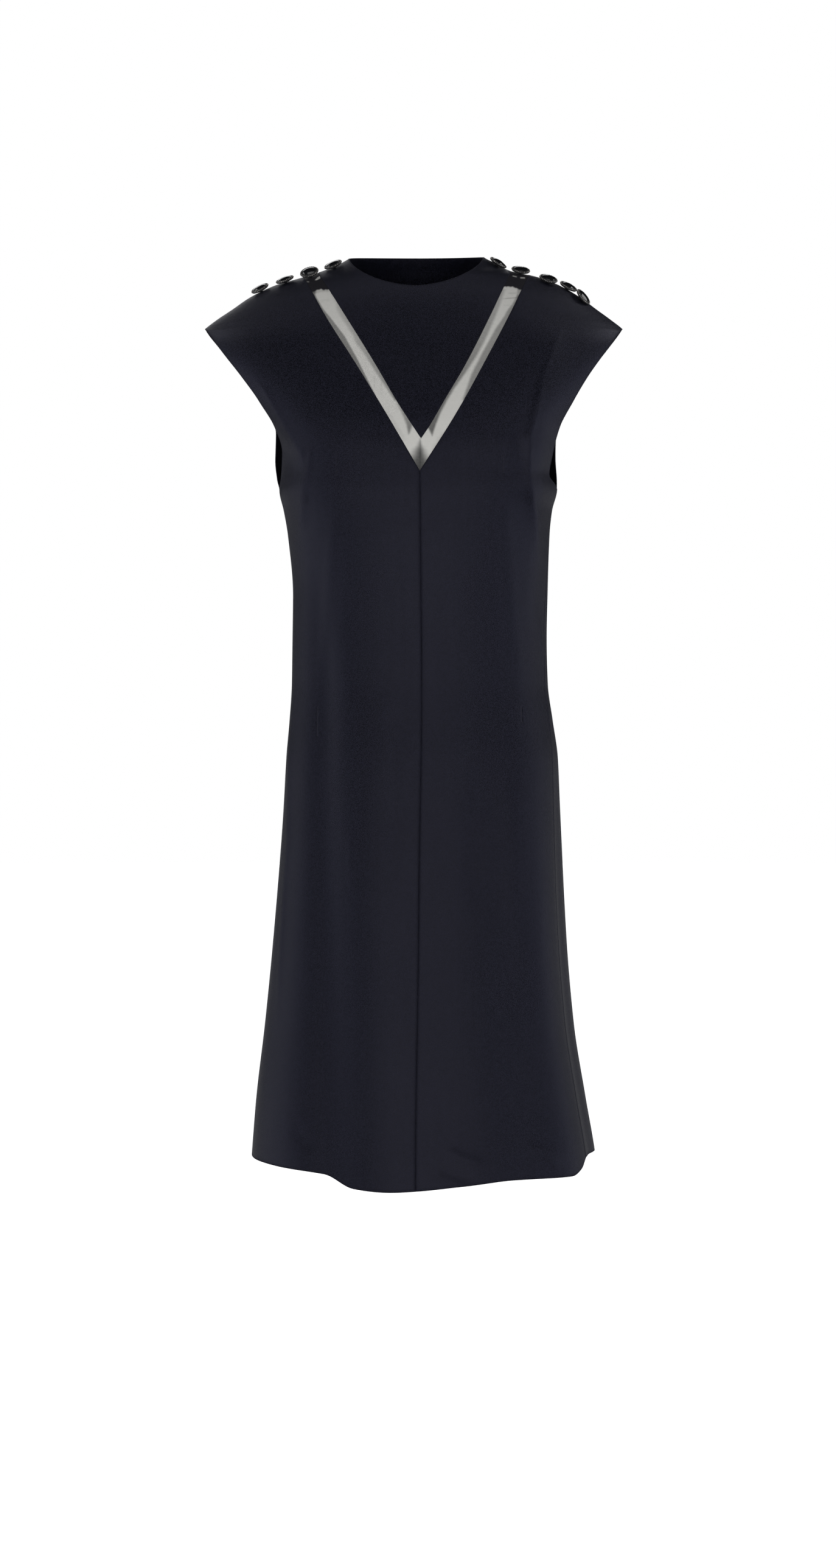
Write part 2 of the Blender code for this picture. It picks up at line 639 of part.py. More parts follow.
def build_bib(empty):
    """The bib between the bands, from its point up to the neckline and the inner ends of the shoulders."""
    left = band_line(INNER_EDGE, "left", ROWS_CHEST + 1)
    right = band_line(INNER_EDGE, "right", ROWS_CHEST + 1)
    half = COLUMNS_BIB // 2
    point = np.concatenate((straight_line(left[1], left[0], half + 1),
                            straight_line(right[0], right[1], half + 1)[1:]))
    scoop = neckline(200)
    left_shoulder = np.linspace(left[-1], scoop[0], 40)
    right_shoulder = np.linspace(scoop[-1], right[-1], 40)
    line = np.concatenate((left_shoulder, scoop[1:-1], right_shoulder))
    top = spaced(line, COLUMNS_BIB + 1)
    places = patch(point, top, left[1:], right[1:], "front", BIB_EDGE_FADE)
    pulls = (("top", SHOULDER_PULL), ("first", SEAM_PULL), ("last", SEAM_PULL), ("bottom", POINT_PULL))
    finish("bib", wall_mesh("bib", places, CREPE_THICKNESS, pulls=pulls), CREPE, empty)


def build_bands(empty):
    """The two sheer bands, each from the mitre at the centre front up to its shoulder."""
    for side in ("left", "right"):
        outer = band_line(OUTER_EDGE, side, ROWS_CHEST + 1)
        inner = band_line(INNER_EDGE, side, ROWS_CHEST + 1)
        u = np.linspace(0.0, 1.0, COLUMNS_BAND + 1)[None, :, None]
        places = inner[:, None] * (1.0 - u) + outer[:, None] * u
        pulls = (("top", SHOULDER_PULL), ("first", SEAM_PULL), ("last", SEAM_PULL), ("bottom", MITRE_PULL))
        mesh = wall_mesh("sheer_band_" + side, places, SHEER_THICKNESS, pulls=pulls)
        finish("sheer_band_" + side, mesh, ORGANZA, empty)


def build_stands(empty):
    """The strips under the shoulder edges that carry the buttons' fastening."""
    for side in ("left", "right"):
        sign = SIGN[side]
        places = np.zeros((ROWS_STAND + 1, COLUMNS_STAND + 1, 2))
        offsets = np.linspace(STAND_FRONT, STAND_BACK, ROWS_STAND + 1)
        for number, across in enumerate(np.linspace(*STAND_REACH, COLUMNS_STAND + 1)):
            height = ridge_height(sign * across) - np.linspace(0.0, 45.0, 300) ** 2 / 45.0
            front = np.abs(front_angle(sign * across, height))
            front[0] = np.pi / 2.0
            in_front = skin(sign * front, height)[:, 1]
            behind = skin(sign * (np.pi - front), height)[:, 1]
            for row, offset in enumerate(offsets):
                depth = -in_front if offset < 0.0 else behind
                found = float(np.interp(abs(offset), depth, height))
                turn = float(np.interp(abs(offset), depth, front))
                places[row, number] = (sign * (turn if offset < 0.0 else np.pi - turn), found)
        sunk = CREPE_THICKNESS + STAND_GAP
        mesh = wall_mesh("button_stand_" + side, places, STAND_THICKNESS, sunk=sunk)
        finish("button_stand_" + side, mesh, CREPE, empty)


def button_mesh(name):
    """A low turned button on a short stem, standing on the origin along +Z."""
    radius = column(BUTTON_PROFILE, BUTTON_PROFILE_COLUMNS, "radius")
    height = column(BUTTON_PROFILE, BUTTON_PROFILE_COLUMNS, "height")
    turn = np.linspace(0.0, 2.0 * np.pi, BUTTON_SIDES, endpoint=False)
    rings = np.stack((radius[:, None] * np.cos(turn), radius[:, None] * np.sin(turn),
                      np.repeat(height[:, None], BUTTON_SIDES, axis=1)), axis=-1).reshape(-1, 3)
    points = np.concatenate((rings, [[0.0, 0.0, 0.0], [0.0, 0.0, BUTTON_CROWN]]))
    index = np.arange(len(rings)).reshape(len(radius), BUTTON_SIDES)
    ahead = np.roll(index, -1, axis=1)
    sides = np.stack((index[:-1], ahead[:-1], ahead[1:], index[1:]), axis=-1).reshape(-1, 4)
    base = np.stack((ahead[0], index[0], np.full(BUTTON_SIDES, len(rings))), axis=-1)
    crown = np.stack((index[-1], ahead[-1], np.full(BUTTON_SIDES, len(rings) + 1)), axis=-1)
    mesh = bpy.data.meshes.new(name)
    mesh.from_pydata((points * MM).tolist(), [], sides.tolist() + base.tolist() + crown.tolist())
    tidy(mesh)
    return mesh


def shoulder_place(across, forward):
    """Place on the front's face a given distance across and in front of the shoulder seam."""
    height = ridge_height(across) - np.linspace(0.0, 45.0, 400) ** 2 / 45.0
    angle = front_angle(across, height)
    angle[0] = np.sign(across) * np.pi / 2.0
    in_front = -skin(angle, height)[:, 1]
    return float(np.interp(forward, in_front, angle)), float(np.interp(forward, in_front, height))


def build_buttons(empty):
    """The buttons along both shoulders, numbered from the viewer's left to right."""
    for side, table in (("left", LEFT_BUTTONS), ("right", RIGHT_BUTTONS)):
        for number, row in enumerate(table, start=1):
            spec = dict(zip(BUTTON_COLUMNS, row))
            lean = Matrix.Rotation(np.radians(spec["lean"]), 3, "X")
            turn = Matrix.Rotation(np.radians(spec["slope"]), 3, "Y") @ lean
            foot = Vector(skin(*shoulder_place(spec["across"], spec["forward"]))) + turn.col[2] * spec["lift"]
            piece = finish("button_%s_%d" % (side, number), button_mesh("button"), GLASS, empty)
            piece.rotation_mode = "QUATERNION"
            piece.rotation_quaternion = turn.to_quaternion()
            piece.location = foot * MM


def clear_scene():
    """Remove every object that is in the scene."""
    for thing in list(bpy.data.objects):
        bpy.data.objects.remove(thing, do_unlink=True)


def main():
    """Build the whole dress."""
    clear_scene()
    empty = bpy.data.objects.new("shift_dress", None)
    bpy.context.collection.objects.link(empty)
    build_fronts(empty)
    build_back(empty)
    build_bib(empty)
    build_bands(empty)
    build_stands(empty)
    build_buttons(empty)


if __name__ == "__main__":
    main()
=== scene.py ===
"""Looks of a shift dress: crepe fronts and back, a bib between two sheer bands, and glass buttons on the shoulders.

Every cloth piece is a thin shell cut from one surface, the dress's worn form. A place on that surface is an angle,
from the centre front (0) round by the right side (90 degrees) to the centre back (180), and a height. Creases are
added to it one by one, each along its own short path. All tables are in millimetres; meshes are made in metres.
"""

import logging
from dataclasses import dataclass
from enum import Enum
from functools import partialmethod
from typing import Callable, NamedTuple, Sequence, Union

import bpy
import numpy as np
from mathutils import Matrix, Vector


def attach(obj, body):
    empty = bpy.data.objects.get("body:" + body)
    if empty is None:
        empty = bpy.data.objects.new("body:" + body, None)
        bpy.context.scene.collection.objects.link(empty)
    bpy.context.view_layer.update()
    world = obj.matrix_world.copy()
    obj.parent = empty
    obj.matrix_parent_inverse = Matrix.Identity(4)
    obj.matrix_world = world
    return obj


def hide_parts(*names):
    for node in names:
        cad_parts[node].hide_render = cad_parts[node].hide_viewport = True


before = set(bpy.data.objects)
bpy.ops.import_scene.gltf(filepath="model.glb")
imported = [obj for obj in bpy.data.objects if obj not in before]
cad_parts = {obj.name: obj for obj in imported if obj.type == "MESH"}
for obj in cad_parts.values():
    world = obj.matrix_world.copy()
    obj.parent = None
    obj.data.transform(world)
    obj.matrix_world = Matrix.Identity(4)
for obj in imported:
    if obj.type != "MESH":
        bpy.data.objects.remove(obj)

LOG = logging.getLogger("shift_dress")
MM = 0.001
ROOT = "root"

# How finely lines are worked out before they are spaced evenly
ROUGH_STEPS = 400
LINE_STEPS = 600
EDGE_STEPS = 800
BAND_ROUNDS = 30


class Side(Enum):
    """The two sides of the dress, as seen from the front."""

    LEFT = -1.0
    RIGHT = 1.0

    @property
    def label(self) -> str:
        """The side's name in the names of pieces."""
        return self.name.lower()


class Face(Enum):
    """The two faces of the dress, which meet at the side seams and the shoulders."""

    FRONT = "front"
    BACK = "back"


class Ring(NamedTuple):
    """A level section: reach to each side, how square it is across (flat) and at the sides (blunt)."""

    height: float
    left: float
    right: float
    front: float
    back: float
    flat: float
    blunt: float


class ChestRing(NamedTuple):
    """A section beside the armholes, where the armholes' edges give the widths."""

    height: float
    front: float
    back: float
    flat: float
    blunt: float


class ArmholePoint(NamedTuple):
    """A point of a sleeve opening's edge: its reach sideways, and its distance from the side plane."""

    height: float
    left: float
    right: float
    left_depth: float
    right_depth: float


class EdgePoint(NamedTuple):
    """A pair of points of a seam, left and right, at one height."""

    height: float
    left: float
    right: float


class Swell(NamedTuple):
    """A broad fold or swell: it runs from a head to a foot and fades over its spread, in degrees."""

    head_angle: float
    head: float
    foot_angle: float
    foot: float
    spread: float
    rise: float
    fade_head: float
    fade_foot: float


def table(kind: Callable, *rows: tuple[float, ...]) -> tuple:
    """A table of named rows."""
    return tuple(kind(*row) for row in rows)


SHOULDER_RINGS = table(
    Ring,
    (24.0, 58.0, 54.0, 14.0, 46.0, 2.0, 1.9),
    (8.0, 72.0, 68.0, 29.0, 57.0, 2.0, 1.9),
    (-1.0, 79.0, 77.5, 36.0, 62.0, 2.0, 1.9),
    (-6.0, 87.0, 87.5, 40.0, 65.0, 2.0, 1.9),
    (-15.0, 107.0, 104.0, 47.0, 69.0, 2.05, 1.9),
    (-24.0, 135.0, 141.0, 54.0, 73.0, 2.1, 1.85),
    (-32.5, 164.5, 163.0, 60.0, 76.0, 2.1, 1.8),
    (-46.0, 193.0, 186.5, 69.0, 80.0, 2.15, 1.75),
    (-60.0, 213.5, 205.5, 76.0, 84.0, 2.2, 1.7),
    (-72.0, 231.5, 222.0, 81.0, 87.0, 2.25, 1.65),
)
CHEST_RINGS = table(
    ChestRing,
    (-82.5, 85.0, 90.0, 2.3, 1.65),
    (-98.0, 90.5, 94.0, 2.3, 1.9),
    (-115.0, 96.0, 98.0, 2.3, 2.1),
    (-145.0, 106.0, 103.0, 2.3, 2.3),
    (-175.0, 114.0, 106.0, 2.3, 2.3),
    (-200.0, 119.0, 107.0, 2.3, 2.3),
    (-230.0, 121.5, 106.0, 2.3, 2.3),
    (-268.0, 122.0, 104.5, 2.3, 2.3),
)
BODY_RINGS = table(
    Ring,
    (-292.0, 154.0, 153.8, 121.0, 103.0, 2.3, 2.3),
    (-320.0, 149.3, 151.0, 119.5, 100.0, 2.3, 2.3),
    (-390.0, 143.3, 148.8, 114.0, 94.0, 2.3, 2.3),
    (-440.0, 143.6, 147.8, 111.0, 92.0, 2.3, 2.3),
    (-490.0, 144.0, 148.8, 110.0, 94.0, 2.3, 2.3),
    (-530.0, 146.2, 154.2, 111.0, 100.0, 2.3, 2.3),
    (-575.0, 150.0, 160.3, 113.0, 107.0, 2.3, 2.3),
    (-640.0, 154.0, 162.6, 115.0, 113.0, 2.3, 2.3),
    (-768.0, 164.5, 167.6, 120.0, 119.0, 2.25, 2.25),
    (-880.0, 175.6, 176.6, 127.0, 125.0, 2.2, 2.2),
    (-964.0, 185.6, 189.8, 133.0, 131.0, 2.2, 2.2),
    (-1030.0, 191.0, 201.0, 139.0, 136.0, 2.2, 2.2),
    (-1075.0, 194.5, 206.0, 143.0, 140.0, 2.2, 2.2),
)
ARMHOLES = {
    Face.FRONT: table(
        ArmholePoint,
        (-82.5, 245.0, 235.2, 0.0, 0.0),
        (-88.0, 241.2, 231.2, 20.0, 20.0),
        (-99.4, 232.9, 223.1, 33.0, 33.0),
        (-114.5, 221.9, 212.2, 43.0, 43.0),
        (-143.5, 198.5, 190.9, 54.0, 54.0),
        (-171.7, 176.8, 172.7, 59.0, 59.0),
        (-199.3, 160.4, 157.5, 60.0, 61.0),
        (-229.5, 153.0, 150.0, 48.0, 60.0),
        (-254.5, 155.5, 146.5, 31.0, 56.0),
        (-264.0, 158.0, 156.0, 17.0, 34.0),
        (-268.0, 159.0, 159.6, 0.0, 0.0),
    ),
    Face.BACK: table(
        ArmholePoint,
        (-82.5, 245.0, 235.2, 0.0, 0.0),
        (-88.0, 241.2, 231.2, 19.0, 19.0),
        (-99.4, 231.5, 222.0, 32.0, 32.0),
        (-114.5, 219.2, 209.8, 42.0, 42.0),
        (-143.5, 194.0, 188.0, 52.0, 52.0),
        (-171.7, 173.8, 170.6, 53.0, 53.0),
        (-199.3, 165.0, 160.5, 42.0, 42.0),
        (-229.5, 165.3, 159.3, 27.0, 27.0),
        (-254.5, 162.6, 160.3, 15.0, 15.0),
        (-264.0, 160.0, 160.0, 8.0, 8.0),
        (-268.0, 159.0, 159.6, 0.0, 0.0),
    ),
}
OUTER_EDGE = table(
    EdgePoint,
    (-24.0, -131.5, 126.5),
    (-76.0, -104.5, 102.5),
    (-133.0, -69.5, 73.5),
    (-190.0, -35.5, 42.5),
    (-254.7, 2.0, 2.0),
)
INNER_EDGE = table(
    EdgePoint,
    (-22.0, -114.0, 105.5),
    (-76.0, -82.0, 81.5),
    (-133.0, -48.0, 53.5),
    (-176.0, -23.7, 28.9),
    (-204.0, -6.0, 13.0),
    (-218.3, 3.4, 3.4),
)
CENTRE_SEAM = (
    (-254.7, 2.0),
    (-516.0, 4.0),
    (-690.0, 1.4),
    (-830.0, 0.0),
    (-1000.0, -2.7),
    (-1075.0, -3.0),
)
SIDE_SEAM = table(
    EdgePoint,
    (-268.0, 90.0, 90.0),
    (-330.0, 90.0, 82.0),
    (-430.0, 90.0, 75.0),
    (-700.0, 90.0, 71.0),
    (-1075.0, 90.0, 71.0),
)
HEM = (
    (-90.0, -1029.0),
    (-55.0, -1036.0),
    (-32.0, -1042.0),
    (-20.0, -1057.0),
    (-8.0, -1060.0),
    (12.0, -1054.0),
    (30.0, -1048.5),
    (56.0, -1047.5),
    (64.0, -1041.0),
    (72.0, -1029.5),
    (90.0, -1027.0),
    (120.0, -1036.0),
    (150.0, -1046.0),
    (185.0, -1040.0),
    (220.0, -1047.0),
    (248.0, -1036.0),
    (270.0, -1029.0),
)
SWELLS = table(
    Swell,
    (-50.0, -195.0, -47.0, -215.0, 24.0, 7.0, 60.0, 80.0),
    (50.0, -195.0, 47.0, -215.0, 24.0, 7.0, 60.0, 80.0),
    (36.0, -125.0, 55.0, -290.0, 9.0, 3.5, 50.0, 70.0),
    (-44.0, -540.0, -28.0, -1060.0, 10.0, -6.0, 160.0, 60.0),
    (-12.0, -760.0, -6.0, -1060.0, 12.0, 4.0, 200.0, 60.0),
    (-76.0, -500.0, -74.0, -900.0, 9.0, 2.5, 120.0, 120.0),
    (30.0, -700.0, 34.0, -1060.0, 12.0, -3.0, 200.0, 60.0),
    (54.0, -820.0, 56.0, -1060.0, 11.0, 4.0, 200.0, 60.0),
    (78.0, -760.0, 80.0, -1060.0, 7.0, -3.0, 180.0, 60.0),
    (102.0, -780.0, 100.0, -1060.0, 12.0, 5.0, 200.0, 60.0),
    (140.0, -170.0, 146.0, -300.0, 18.0, 4.0, 70.0, 90.0),
    (220.0, -170.0, 214.0, -300.0, 18.0, 4.0, 70.0, 90.0),
    (150.0, -720.0, 148.0, -1060.0, 11.0, 5.0, 200.0, 60.0),
    (176.0, -700.0, 172.0, -1060.0, 12.0, -5.0, 200.0, 60.0),
    (206.0, -740.0, 210.0, -1060.0, 12.0, 5.0, 200.0, 60.0),
    (240.0, -800.0, 238.0, -1060.0, 11.0, -4.0, 180.0, 60.0),
)
NECK = {Side.LEFT: (-79.0, -1.0), Side.RIGHT: (75.5, 1.5)}
NECKLINE_DROP = 40.0
NECKLINE_SQUARE = 1.75
BACK_NECK_RISE = 7.0

# Levels of the sleeves' tips, the underarms, the V's tip, the hem and the highest ridge
TIP_HEIGHT = -82.5
UNDERARM_HEIGHT = -268.0
V_TIP_HEIGHT = -254.7
HEM_LEVEL = -1040.0
RIDGE_TOP = 20.0

# How far down from the shoulder seam things are placed, and how much rows crowd to the sleeves' tips
SHOULDER_DROP = 45.0
CHEST_CROWDING = 0.3


class Section(Enum):
    """How a crease rises across its path."""

    SOFT = "soft"
    RIDGE = "ridge"
    PRESSED = "pressed"


@dataclass(frozen=True)
class Crease:
    """A fold, drag line or pressed mark that follows a path of points (distance across, height).

    Attributes:
        path: Its points from end to end.
        rise: How far it stands out; it sinks in when negative.
        width: How far to each side it reaches.
        section: How it rises across its path.
        face: The face of the dress it lies on.
        fade_in: The share of its length over which it grows from its first end.
        fade_out: The share over which it dies away at its last end.
    """

    path: Sequence[tuple[float, float]]
    rise: float
    width: float
    section: Section = Section.SOFT
    face: Face = Face.FRONT
    fade_in: float = 0.3
    fade_out: float = 0.3

    def __call__(self, across: np.ndarray, height: np.ndarray) -> np.ndarray:
        """The crease's rise at points of its face.

        Args:
            across: Distances across, in millimetres.
            height: Heights, in millimetres.

        Returns:
            Millimetres out of the surface, in the shape of the points. Across the path it is a bell, a
            narrower crest, or a flat top with soft edges; along the path it eases in and out.
        """
        path = np.array(self.path)
        low, high = path.min(axis=0) - 4.0 * self.width, path.max(axis=0) + 4.0 * self.width
        near = (across > low[0]) & (across < high[0]) & (height > low[1]) & (height < high[1])
        total = np.zeros(across.shape)
        start, run = path[:-1], np.diff(path, axis=0)
        length = np.linalg.norm(run, axis=1)
        reach = np.concatenate(([0.0], np.cumsum(length)))
        offset = np.stack((across[near], height[near]), axis=-1)[:, None] - start
        part = np.clip((offset * run).sum(axis=-1) / length ** 2, 0.0, 1.0)
        distance = np.linalg.norm(offset - part[..., None] * run, axis=-1)
        nearest = distance.argmin(axis=1)
        row = np.arange(len(nearest))
        away = distance[row, nearest] / self.width
        share = (reach[nearest] + part[row, nearest] * length[nearest]) / reach[-1]
        grow = np.clip(share / self.fade_in, 0.0, 1.0)
        die = np.clip((1.0 - share) / self.fade_out, 0.0, 1.0)
        ease = grow * grow * (3.0 - 2.0 * grow) * die * die * (3.0 - 2.0 * die)
        total[near] = self.rise * ease * self._across(away)
        return total

    def _across(self, away: np.ndarray) -> np.ndarray:
        """Share of the rise at distances given in widths."""
        steepness, rounding, crest, brink = 1.7, 0.03, 0.173, 1.6
        if self.section is Section.RIDGE:
            return np.exp(-steepness * (np.sqrt(away * away + rounding) - crest))
        if self.section is Section.PRESSED:
            return 0.5 * (1.0 - np.tanh((away - 1.0) * self.width / brink))
        return np.exp(-away * away)


CREASES = (
    Crease(((168.0, -74.0), (141.0, -145.0), (132.0, -190.0), (125.0, -215.0), (125.0, -256.0), (129.0, -285.0),
            (133.0, -307.0), (141.0, -406.0)), 2.6, 8.0, Section.RIDGE, fade_in=0.3, fade_out=0.45),
    Crease(((152.0, -110.0), (128.0, -170.0), (114.0, -214.0), (113.0, -262.0)), -1.6, 9.0),
    Crease(((-190.0, -140.0), (-174.0, -159.0), (-132.0, -232.0), (-122.0, -262.0)), 1.7, 7.0, Section.RIDGE),
    Crease(((-182.0, -178.0), (-148.0, -232.0), (-139.0, -266.0)), -1.3, 7.0),
    Crease(((-120.0, -222.0), (-126.0, -272.0)), 0.7, 3.0),
    Crease(((-128.0, -240.0), (-134.0, -330.0)), 1.2, 6.0),
    Crease(((-140.0, -470.0), (-146.0, -565.0), (-148.0, -671.0), (-152.0, -724.0), (-158.0, -832.0),
            (-161.0, -900.0)), 1.6, 5.0, Section.RIDGE),
    Crease(((136.0, -400.0), (146.0, -493.0), (153.0, -576.0)), 1.4, 5.0, Section.RIDGE),
    Crease(((-24.0, -500.0), (-25.0, -600.0), (-22.0, -700.0)), -0.7, 9.0),
    Crease(((-76.0, -650.0), (-75.5, -725.0)), 0.6, 4.0),
    Crease(((108.0, -570.0), (107.0, -790.0)), 1.8, 16.0),
    Crease(((66.0, -560.0), (62.0, -760.0)), -1.0, 14.0),
    Crease(((28.0, -1010.0), (50.0, -1023.0), (80.0, -1032.0)), 1.5, 6.0, Section.RIDGE),
    Crease(((18.0, -1030.0), (44.0, -1042.0), (66.0, -1047.0)), -1.0, 5.0),
    Crease(((120.0, -1010.0), (146.0, -1022.0), (160.0, -1040.0)), 1.2, 7.0),
    Crease(((-140.0, -985.0), (-120.0, -1020.0)), -1.0, 8.0),
    Crease(((2.0, -300.0), (4.0, -516.0), (1.4, -720.0)), 0.35, 19.5, Section.PRESSED, fade_in=0.06,
           fade_out=0.1),
    Crease(((-91.0, -262.0), (-103.0, -400.0), (-114.0, -530.0)), 0.7, 7.0, Section.SOFT, fade_in=0.2,
           fade_out=0.2),
    Crease(((95.0, -262.0), (107.0, -400.0), (119.0, -520.0)), 0.7, 7.0, Section.SOFT, fade_in=0.2,
           fade_out=0.2),
    Crease(((150.0, -95.0), (120.0, -180.0), (104.0, -250.0)), 2.0, 8.0, Section.RIDGE, Face.BACK),
    Crease(((-158.0, -100.0), (-124.0, -190.0), (-110.0, -262.0)), 1.8, 9.0, Section.RIDGE, Face.BACK),
    Crease(((-120.0, -430.0), (-60.0, -470.0), (10.0, -478.0)), 1.6, 10.0, Section.SOFT, Face.BACK),
    Crease(((128.0, -410.0), (70.0, -446.0), (20.0, -452.0)), 1.4, 9.0, Section.SOFT, Face.BACK),
    Crease(((-70.0, -505.0), (0.0, -520.0), (66.0, -508.0)), -1.4, 12.0, Section.SOFT, Face.BACK),
    Crease(((-60.0, -30.0), (0.0, -52.0), (58.0, -32.0)), 1.0, 10.0, Section.SOFT, Face.BACK),
    Crease(((-36.0, -700.0), (-42.0, -960.0)), 2.0, 14.0, Section.SOFT, Face.BACK),
    Crease(((70.0, -640.0), (82.0, -900.0)), -2.0, 15.0, Section.SOFT, Face.BACK),
)


@dataclass(frozen=True)
class Curve:
    """A cubic through values at rising knots, with no overshoot between two of them."""

    knots: np.ndarray
    values: np.ndarray

    @classmethod
    def through(cls, knots: Sequence[float], values: Sequence[float]) -> "Curve":
        """A curve through knots in any order."""
        order = np.argsort(knots)
        return cls(np.asarray(knots, float)[order], np.asarray(values, float)[order])

    @classmethod
    def of(cls, rows: Sequence[NamedTuple], name: str) -> "Curve":
        """A curve of one column of a table over its heights."""
        return cls.through(column(rows, "height"), column(rows, name))

    def __call__(self, at: Union[float, np.ndarray]) -> np.ndarray:
        """The curve's value; it stays level past its ends.

        Args:
            at: Places along the knots.

        Returns:
            The values there, from a cubic whose slope at a knot is the harmonic mean of its neighbours'.
        """
        run = np.diff(self.knots)
        rise = np.diff(self.values) / run
        product = rise[:-1] * rise[1:]
        total = rise[:-1] + rise[1:]
        inner = np.where(product > 0.0, 2.0 * product / np.where(total == 0.0, 1.0, total), 0.0)
        slope = np.concatenate(([rise[0]], inner, [rise[-1]]))
        at = np.clip(np.asarray(at, float), self.knots[0], self.knots[-1])
        place = np.clip(np.searchsorted(self.knots, at, side="right") - 1, 0, len(run) - 1)
        step = run[place]
        part = (at - self.knots[place]) / step
        ease = part * part * (3.0 - 2.0 * part)
        leaving = slope[place] * part * (1.0 - part) ** 2 * step
        arriving = slope[place + 1] * part * part * (1.0 - part) * step
        return self.values[place] * (1.0 - ease) + self.values[place + 1] * ease + leaving - arriving


def column(rows: Sequence[NamedTuple], name: str) -> np.ndarray:
    """One named column of a table, as an array."""
    return np.array([getattr(row, name) for row in rows], dtype=float)


class DressForm:
    """The dress's worn form: its surface, and the lines that its pieces are cut along."""

    def __init__(self, swells: Sequence[Swell], creases: Sequence[Crease]) -> None:
        """Work out the curves of the rings.

        Args:
            swells: Broad folds, shared with the solid pieces.
            creases: Smaller creases, which only the cloth has.
        """
        self.swells = swells
        self.creases = creases
        heights = np.concatenate([column(rows, "height") for rows in (SHOULDER_RINGS, CHEST_RINGS, BODY_RINGS)])
        self.depth = {face: self._ring_curve(heights, face.value) for face in Face}
        self.flat = self._ring_curve(heights, "flat")
        self.blunt = self._ring_curve(heights, "blunt")
        self.width = {(side, face): self._width_curve(side, face) for side in Side for face in Face}

    @staticmethod
    def _ring_curve(heights: np.ndarray, name: str) -> Curve:
        """A column of the rings over the whole height."""
        parts = [column(rows, name) for rows in (SHOULDER_RINGS, CHEST_RINGS, BODY_RINGS)]
        return Curve.through(heights, np.concatenate(parts))

    def _width_curve(self, side: Side, face: Face) -> Curve:
        """Half-width of the rings on one side of one face.

        Beside a sleeve opening the ring is as wide as it must be to pass through the opening's edge.
        """
        table = ARMHOLES[face]
        height = column(table, "height")
        edge = column(table, side.label)
        off_plane = column(table, side.label + "_depth")
        share = 1.0 - (off_plane / self.depth[face](height)) ** self.blunt(height)
        width = edge / share ** (1.0 / self.flat(height))
        heights = (column(SHOULDER_RINGS, "height"), height, column(BODY_RINGS, "height"))
        widths = (column(SHOULDER_RINGS, side.label), width, column(BODY_RINGS, side.label))
        return Curve.through(np.concatenate(heights), np.concatenate(widths))

    def face_width(self, across: np.ndarray, height: np.ndarray, face: Face) -> np.ndarray:
        """Half-width of one face's ring at a height, on the side where a point across lies."""
        return np.where(across >= 0.0, self.width[Side.RIGHT, face](height), self.width[Side.LEFT, face](height))

    def half_width(self, angle: np.ndarray, height: np.ndarray) -> np.ndarray:
        """Half-width of the ring at a height, on the side and face where an angle lies."""
        front, back = (self.face_width(np.sin(angle), height, face) for face in Face)
        return np.where(np.cos(angle) >= 0.0, front, back)

    def relief(self, angle: np.ndarray, height: np.ndarray) -> np.ndarray:
        """How far the broad folds stand out from the smooth rings.

        Args:
            angle: Angles round the dress.
            height: Heights.

        Returns:
            Millimetres: for each fold a bell across it, which fades past its head and foot.
        """
        total = np.zeros(angle.shape)
        degrees = np.degrees(angle)
        for swell in self.swells:
            part = np.clip((swell.head - height) / (swell.head - swell.foot), -0.3, 1.2)
            line = swell.head_angle + (swell.foot_angle - swell.head_angle) * part
            away = (degrees - line + 180.0) % 360.0 - 180.0
            over = np.maximum(height - swell.head, 0.0) / swell.fade_head
            under = np.maximum(swell.foot - height, 0.0) / swell.fade_foot
            total += swell.rise * np.exp(-(away / swell.spread) ** 2 - over ** 2 - under ** 2)
        return total

    def skin(self, angle: np.ndarray, height: np.ndarray) -> np.ndarray:
        """Points of the smooth outer face with its broad folds.

        Args:
            angle: Angles round the dress.
            height: Heights.

        Returns:
            Points in millimetres. A ring is a squared ellipse, x = width sin^(2/flat), y = depth
            cos^(2/blunt), moved out by the folds.
        """
        angle, height = np.broadcast_arrays(np.asarray(angle, float), np.asarray(height, float))
        sine, cosine = np.sin(angle), np.cos(angle)
        width = self.half_width(angle, height)
        depth = np.where(cosine >= 0.0, self.depth[Face.FRONT](height), self.depth[Face.BACK](height))
        across = np.sign(sine) * width * np.abs(sine) ** (2.0 / self.flat(height))
        along = -np.sign(cosine) * depth * np.abs(cosine) ** (2.0 / self.blunt(height))
        out = np.stack((across / width ** 2, along / depth ** 2), axis=-1)
        out /= np.linalg.norm(out, axis=-1, keepdims=True)
        rise = self.relief(angle, height)
        return np.stack((across + out[..., 0] * rise, along + out[..., 1] * rise, height), axis=-1)

    def facing(self, angle: np.ndarray, height: np.ndarray) -> np.ndarray:
        """Unit vectors that point out of the outer face, from the slopes of the skin round and up it."""
        turn, lift = 0.004, 0.8
        around = self.skin(angle + turn, height) - self.skin(angle - turn, height)
        upward = self.skin(angle, height + lift) - self.skin(angle, height - lift)
        out = np.cross(around, upward)
        return out / np.linalg.norm(out, axis=-1, keepdims=True)

    def creased(self, angle: np.ndarray, height: np.ndarray) -> tuple[np.ndarray, np.ndarray]:
        """Points of the cloth's outer face and the directions out of it.

        Args:
            angle: Angles round the dress.
            height: Heights.

        Returns:
            The skin moved out by the creases of the face each point lies on, and unit vectors out.
        """
        points = self.skin(angle, height)
        out = self.facing(angle, height)
        rise = np.zeros(points.shape[:-1])
        on_front = np.cos(angle) >= 0.0
        seam_ease = 0.12
        side_on = np.clip(np.abs(np.cos(angle)) / seam_ease, 0.0, 1.0)
        for crease in self.creases:
            here = on_front if crease.face is Face.FRONT else ~on_front
            rise += np.where(here, crease(points[..., 0], points[..., 2]), 0.0)
        return points + out * (rise * side_on)[..., None], out

